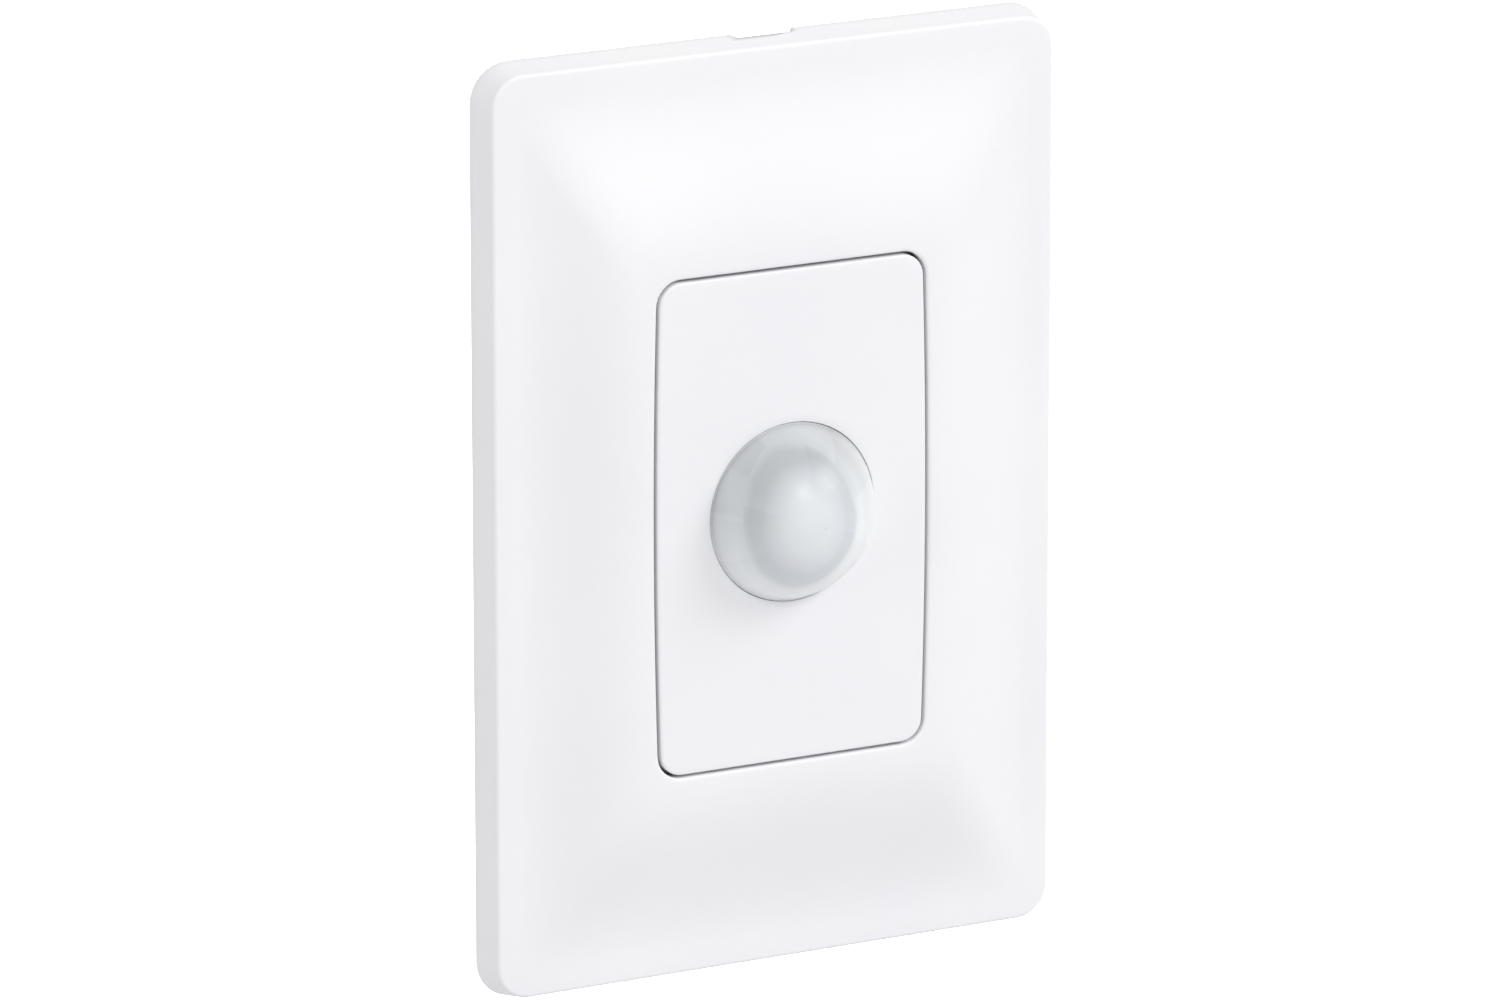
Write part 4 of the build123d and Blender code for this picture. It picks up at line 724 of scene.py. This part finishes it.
def numeral(number, column):
    """A plain number as a solid that sinks into the housing's rear, read from behind."""
    letters = bpy.data.curves.new("numeral", "FONT")
    letters.body, letters.align_x = str(number), "CENTER"
    letters.size, letters.extrude, letters.resolution_u = numeral_size, tool_over, 4
    holder = bpy.data.objects.new("numeral", letters)
    bpy.context.scene.collection.objects.link(holder)
    depsgraph = bpy.context.evaluated_depsgraph_get()
    mesh = bpy.data.meshes.new_from_object(holder.evaluated_get(depsgraph), depsgraph=depsgraph)
    edited(mesh, lambda shape: bmesh.ops.remove_doubles(shape, verts=shape.verts, dist=0.001))
    lift = housing_back_in + tool_over - numeral_depth
    verts = [(column - v.co.x, lift + v.co.z, numeral_row + v.co.y) for v in mesh.vertices]
    faces = [tuple(f.vertices) for f in mesh.polygons]
    bpy.data.objects.remove(holder)
    bpy.data.meshes.remove(mesh)
    return verts, faces


housing = softened("rear_housing", "rear_housing_moulding", housing_plastic, 0.15)
tool_rear, dial_floor = -housing_back_in - tool_over, dial_depth - housing_back_in
dial = [(dial_outer, tool_rear), (dial_outer, dial_floor), (dial_inner, dial_floor), (dial_inner, tool_rear)]
sunk = [turned(dial, column, dial_row, dial_sides) for column in (-dial_column, dial_column)]
sunk.append(prism(rectangle(gauge_length, gauge_width, gauge_row), tool_rear, dial_floor))
sunk += [numeral(number, column) for number, column in ((1, -entry_column), (2, 0), (3, entry_column))]
cut_away(housing, new_piece("sunk_marks", *together(*sunk), housing_plastic))
edited(housing.data, lambda shape: bmesh.ops.holes_fill(
    shape, edges=[e for e in shape.edges if e.is_boundary], sides=4))
even_shading(housing)
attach(housing, "switch_body")
for side, column in (("time", -dial_column), ("light", dial_column)):
    mark = rectangle(tick_width, tick_length, (dial_inner + dial_outer) / 2)
    tick = new_piece("tick", *prism(mark, -tick_height, tick_sink), housing_plastic)
    ticks = copied(side + "_dial_ticks", arc_of_copies, tick, tick_count, (column, -dial_floor, dial_row),
                   (0, 0, 0), housing_plastic, math.radians(tick_sweep))
    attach(ticks, "switch_body")

# Screws: steel, bright zinc plated, with rolled threads and a cross recess for the screwdriver. Two long
# ones hold the frame on the wall box, and three short ones with big heads press the cages on the wires.
crown_share, crown_steps, head_chamfer = 0.3, 6, 0.1
thread_steps, thread_crest, screw_sides = 8, 0.1, 36
tip_length, tip_share = 0.4, 0.75
recess_over, recess_end = 1, (0.35, 0.6)
box_recess, terminal_recess = (2.1, 0.42, 1.7), (1.9, 0.4, 1.4)
box_head, box_head_out, box_head_deep, box_shank, box_core, box_pitch = 3.4, 3.5, 2.2, 1.75, 1.45, 0.6
box_thread_start, box_thread_end = 3.7, 26.8
terminal_head, terminal_head_deep, terminal_shank, terminal_core, terminal_pitch = 3.0, 2.0, 1.75, 1.4, 0.7
terminal_thread_start = 2.2
zinc, tree, place = new_material("bright_zinc_plated_steel")
# Zinc plate: bluish bright metal with a mottled, slightly cloudy sheen and fine turning marks.
cloud = noise(tree, place, 1.5, 4)["Fac"]
surface(tree, {
    "Base Color": two_tones(tree, cloud, ("B9BEC6", "D3D6DA")), "Roughness": ranged(tree, cloud, 0.22, 0.42),
    "Normal": relief(tree, noise(tree, place, 0.25, 1)["Fac"], 0.08, 0.01), "Metallic": 1.0, "IOR": 2.0,
})


def screw_shape(head, head_deep, shank, core, pitch, start, end):
    """Closed skin of a screw along its depth from the head's top, with one thread between start and end."""
    sides = screw_sides
    rings = []
    for i in range(1, crown_steps + 1):
        t = math.radians(90 * i / crown_steps)
        rings.append((crown_share * head_deep * (1 - math.cos(t)), [head * math.sin(t)] * sides))
    rings.append((head_deep - head_chamfer, [head] * sides))
    rings += [(head_deep, [radius] * sides) for radius in (head - head_chamfer, core)]
    steps = round((end - start) / pitch * thread_steps)
    for i in range(steps + 1):
        depth = start + (end - start) * i / steps
        height = (shank - core) * min(1, (end - depth) / pitch, (depth - start) / pitch)
        phases = [(depth / pitch - k / sides) % 1 for k in range(sides)]
        radii = [core + height * min(1, (0.5 - abs(phase - 0.5)) / (0.5 - thread_crest)) for phase in phases]
        rings.append((depth, radii))
    rings.append((end + tip_length, [core * tip_share] * sides))
    verts = [(r * math.cos(2 * math.pi * k / sides), r * math.sin(2 * math.pi * k / sides), depth)
             for depth, radii in rings for k, r in enumerate(radii)]
    faces = []
    for j in range(len(rings) - 1):
        p, q = j * sides, (j + 1) * sides
        faces += [(p + (k + 1) % sides, p + k, q + k, q + (k + 1) % sides) for k in range(sides)]
    last = (len(rings) - 1) * sides
    return verts, faces + [tuple(range(sides)), tuple(range(last, last + sides))[::-1]]


def cross_recess(reach, wide, deep):
    """Two crossed blades that taper with depth, as a screwdriver's tip, which cut the recess in a head."""
    top = [(sx * reach, sy * wide) for sx, sy in corners]
    blade = [(x, y, -recess_over) for x, y in top]
    blade += [(x * recess_end[0], y * recess_end[1], deep) for x, y in top]
    faces = [((i + 1) % 4, i, 4 + i, 4 + (i + 1) % 4) for i in range(4)] + [(0, 1, 2, 3), (7, 6, 5, 4)]
    return (blade, faces), ([(-y, x, depth) for x, y, depth in blade], faces)


def screw(name, shape, recess, at):
    """A screw with its recess cut, placed by a function from (x, y, depth) to the part's own frame."""
    verts, faces = shape
    piece = new_piece(name, [at(*v) for v in verts], faces, zinc)
    for blade, blade_faces in recess:
        cut_away(piece, new_piece("recess_tool", [at(*v) for v in blade], blade_faces, zinc))
    smooth(piece.data, angle=30)
    return piece


def box_mm(node):
    """A CAD node's lowest and highest corners in millimetres."""
    return [[c * 1000 for c in corner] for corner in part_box(node)]


box_screw = screw(
    "box_screw",
    screw_shape(box_head, box_head_deep, box_shank, box_core, box_pitch, box_thread_start, box_thread_end),
    cross_recess(*box_recess),
    lambda x, y, depth: (x, depth - box_head_out, -leg_row + y),
)
box_screws = copied("box_screw_pair", row_of_copies, box_screw, 2, (0, 0, 0), (0, 0, 2 * leg_row), zinc)
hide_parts("box_screws")
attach(box_screws, "switch_body")

for number in (1, 2, 3):
    low, high = box_mm(f"terminal_screw_{number}")
    axis_x, axis_y, head_z = (low[0] + high[0]) / 2, (low[1] + high[1]) / 2, low[2]
    piece = screw(
        f"terminal_screw_{number}_threaded",
        screw_shape(terminal_head, terminal_head_deep, terminal_shank, terminal_core, terminal_pitch,
                    terminal_thread_start, high[2] - head_z - tip_length),
        cross_recess(*terminal_recess),
        lambda x, y, depth: (axis_x + x, axis_y - y, head_z + depth),
    )
    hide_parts(f"terminal_screw_{number}")
    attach(piece, f"terminal_screw_{number}")

# Relay winding: one lane of enamelled copper wire, each turn drawn as its own ring because the real
# spiral of 0.1 mm wire is too fine to show. It is drawn about four times as thick as it is.
wire_turns, wire_gap, winding_bore, winding_sides, wire_steps = 16, 0.005, 2.4, 48, 8
wire, tree, place = new_material("enamelled_copper_wire")
# Copper under a clear enamel: warm, cloudy and glossy.
cloud = noise(tree, place, 0.8, 3)["Fac"]
surface(tree, {
    "Base Color": two_tones(tree, cloud, ("9A4A1E", "C06A35")),
    "Metallic": 0.8, "IOR": 1.6, "Roughness": 0.22, "Coat Weight": 0.5,
})
low, high = box_mm("relay_winding")
wire_step, winding_radius = (high[1] - low[1]) / wire_turns, (high[0] - low[0]) / 2
wire_half = wire_step / 2 - wire_gap
arcs = [math.pi * (i / wire_steps - 0.5) for i in range(wire_steps + 1)]
profile = [(winding_radius - wire_half + wire_half * math.cos(t), wire_half * math.sin(t)) for t in arcs]
profile += [(winding_bore, wire_half), (winding_bore, -wire_half)]
winding_x, winding_z = (low[0] + high[0]) / 2, (low[2] + high[2]) / 2
turn = new_piece("turn", *turned(profile, winding_x, winding_z, winding_sides), wire)
winding = copied("relay_winding_turns", row_of_copies, turn, wire_turns, (0, low[1] + wire_step / 2, 0),
                 (0, wire_step, 0), wire)
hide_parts("relay_winding")
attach(winding, "switch_body")

# Boards: glass epoxy with green solder mask. Copper tracks show as paler raised lines under the mask, in
# lanes that run across or upright from patch to patch, with tinned dots where a lead could be soldered.
board, tree, place = new_material("green_masked_glass_epoxy_board")
lane_mm, track_share, patch_mm, dot_mm, dot_share = 0.95, 0.34, 4.2, 2.6, 0.17
upright_from, filled_from = 0.45, 0.82
parts = add_node(tree, "ShaderNodeSeparateXYZ", {"Vector": place}).outputs
flat = add_node(tree, "ShaderNodeCombineXYZ", {"X": parts["X"], "Y": parts["Z"]}).outputs["Vector"]


def lane(distance):
    """One where a track of a third of a lane's width runs, by the distance along one direction."""
    share = math_node(tree, "FRACT", math_node(tree, "MULTIPLY", distance, 1000 / lane_mm))
    return math_node(tree, "LESS_THAN", share, track_share)


patch = vector_node(tree, "FLOOR", vector_node(tree, "MULTIPLY", flat, (1000 / patch_mm,) * 3))
chance = add_node(tree, "ShaderNodeTexWhiteNoise", {"Vector": patch}, noise_dimensions="2D").outputs["Value"]
track = add_node(tree, "ShaderNodeMix", {
    "Factor": math_node(tree, "GREATER_THAN", chance, upright_from),
    "A": lane(parts["Z"]), "B": lane(parts["X"]),
}).outputs["Result"]
copper = math_node(tree, "MAXIMUM", track, math_node(tree, "GREATER_THAN", chance, filled_from))
dots = add_node(tree, "ShaderNodeTexVoronoi", {"Vector": flat, "Scale": 1000 / dot_mm, "Randomness": 0.75},
                voronoi_dimensions="2D").outputs["Distance"]
dot = math_node(tree, "LESS_THAN", dots, dot_share)
green = add_node(tree, "ShaderNodeMix", {"Factor": copper, "A": linear("14512F"), "B": linear("2A7A4B")},
                 data_type="RGBA").outputs["Result"]
colour = add_node(tree, "ShaderNodeMix", {"Factor": dot, "A": green, "B": linear("C9C7BE")},
                  data_type="RGBA").outputs["Result"]
surface(tree, {
    "Base Color": colour, "Roughness": ranged(tree, noise(tree, place, 0.6, 3)["Fac"], 0.22, 0.42),
    "Metallic": dot, "Normal": relief(tree, copper, 0.3, 0.04), "IOR": 1.55, "Coat Weight": 0.2,
})


def paint_nodes(material, *names):
    """Gives the CAD nodes that stay in view their finish."""
    for name in names:
        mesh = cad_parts[name].data
        mesh.materials.clear()
        mesh.materials.append(material)
        smooth(mesh, angle=30)


paint_nodes(board, "sensor_board", "power_board")

# Small parts on the boards: moulded epoxy bodies, ceramics, sleeves and cases, each with its own finish.
# They keep their solids, which already have leads, sleeves, beads and collars. The relay's bobbin and
# the trimmers' rotors are nylon with rounded edges.
epoxy = moulded_plastic("black_epoxy_package_moulding", ("17181A", "212225"), 0.25, 6, (0.45, 0.6),
                        ior=1.55, depth_mm=0.03)
paint_nodes(epoxy, "board_header_strip", "chip_resistors", "control_chip", "pir_standoff", "rectifier_diodes",
            "relay_base", "voltage_regulator")
ceramic = moulded_plastic("pale_fired_ceramic", ("CDBFA6", "DBD0BA"), 0.3, 3, (0.5, 0.65),
                          ior=1.6, depth_mm=0.03)
paint_nodes(ceramic, "chip_capacitors", "fuse_resistor", "light_sensor")
sleeve = moulded_plastic("blue_shrunk_pvc_sleeve", ("23418C", "2C4E9E"), 0.8, 7, (0.28, 0.36), ior=1.54)
paint_nodes(sleeve, "bulk_electrolytic")
dip = moulded_plastic("blue_dipped_epoxy_coat", ("1F5FA8", "2A6DB6"), 0.5, 3, (0.3, 0.45),
                      ior=1.55, depth_mm=0.05)
paint_nodes(dip, "varistor")
case = moulded_plastic("blue_polyester_case_moulding", ("2B5FA6", "326AB2"), 0.3, 12, (0.32, 0.4), ior=1.57)
paint_nodes(case, "relay_case", "time_trimmer_body", "light_trimmer_body")
film = moulded_plastic("yellow_flame_proof_case_moulding", ("D9A51F", "E2B02C"), 0.3, 10, (0.3, 0.4),
                       ior=1.55)
paint_nodes(film, "film_capacitor")
filter_glass = moulded_plastic("dark_coated_silicon_window", ("1B1420", "2A2030"), 0.2, 2, (0.08, 0.14),
                               ior=3.4, depth_mm=0.005, shine=0.6)
paint_nodes(filter_glass, "pir_window")
for node in ("relay_bobbin", "time_trimmer_rotor", "light_trimmer_rotor"):
    piece = softened(node, node + "_moulding", nylon, 0.08)
    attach(piece, node if "rotor" in node else "switch_body")

# Metal strip and sheet: the terminals and their cages, the contacts and pins, the relay's iron and the
# infrared sensor's can. All of it is rolled, so its tone and sheen run in streaks along the strip.
streak_stretch = 0.15


def plated_strip(name, tones, roughness, streak_mm):
    """Rolled metal: streaks along the strip in tone and sheen."""
    material, tree, place = new_material(name)
    drawn = add_node(tree, "ShaderNodeMapping", {"Vector": place, "Scale": (1, streak_stretch, 1)})
    streak = noise(tree, drawn.outputs["Vector"], streak_mm, 4)["Fac"]
    surface(tree, {
        "Base Color": two_tones(tree, streak, tones), "Roughness": ranged(tree, streak, *roughness),
        "Normal": relief(tree, streak, 0.05, 0.01), "Metallic": 1.0, "IOR": 1.9,
    })
    return material


# Brass strip, pressed and thinly tinned: contacts, pins and the wire clamps, warm where the tin is thin.
brass = plated_strip("tinned_brass_strip", ("C4AE6E", "D8CCA0"), (0.25, 0.4), 0.5)
paint_nodes(brass, "board_header_pins", "relay_contact_blade", "relay_fixed_contact", "relay_pins",
            "terminal_blades")
for number in (1, 2, 3):
    piece = softened(f"terminal_cage_{number}", f"terminal_cage_{number}_pressing", brass, 0.12)
    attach(piece, f"terminal_cage_{number}")
# Nickel plated steel: the infrared sensor's can and the relay's iron, even and bright.
nickel = plated_strip("nickel_plated_steel", ("BDBAB2", "CECBC3"), (0.2, 0.32), 0.7)
paint_nodes(nickel, "pir_can", "pir_header", "relay_armature", "relay_core", "relay_yoke",
            "small_electrolytic")
paint_nodes(zinc, "board_screws")
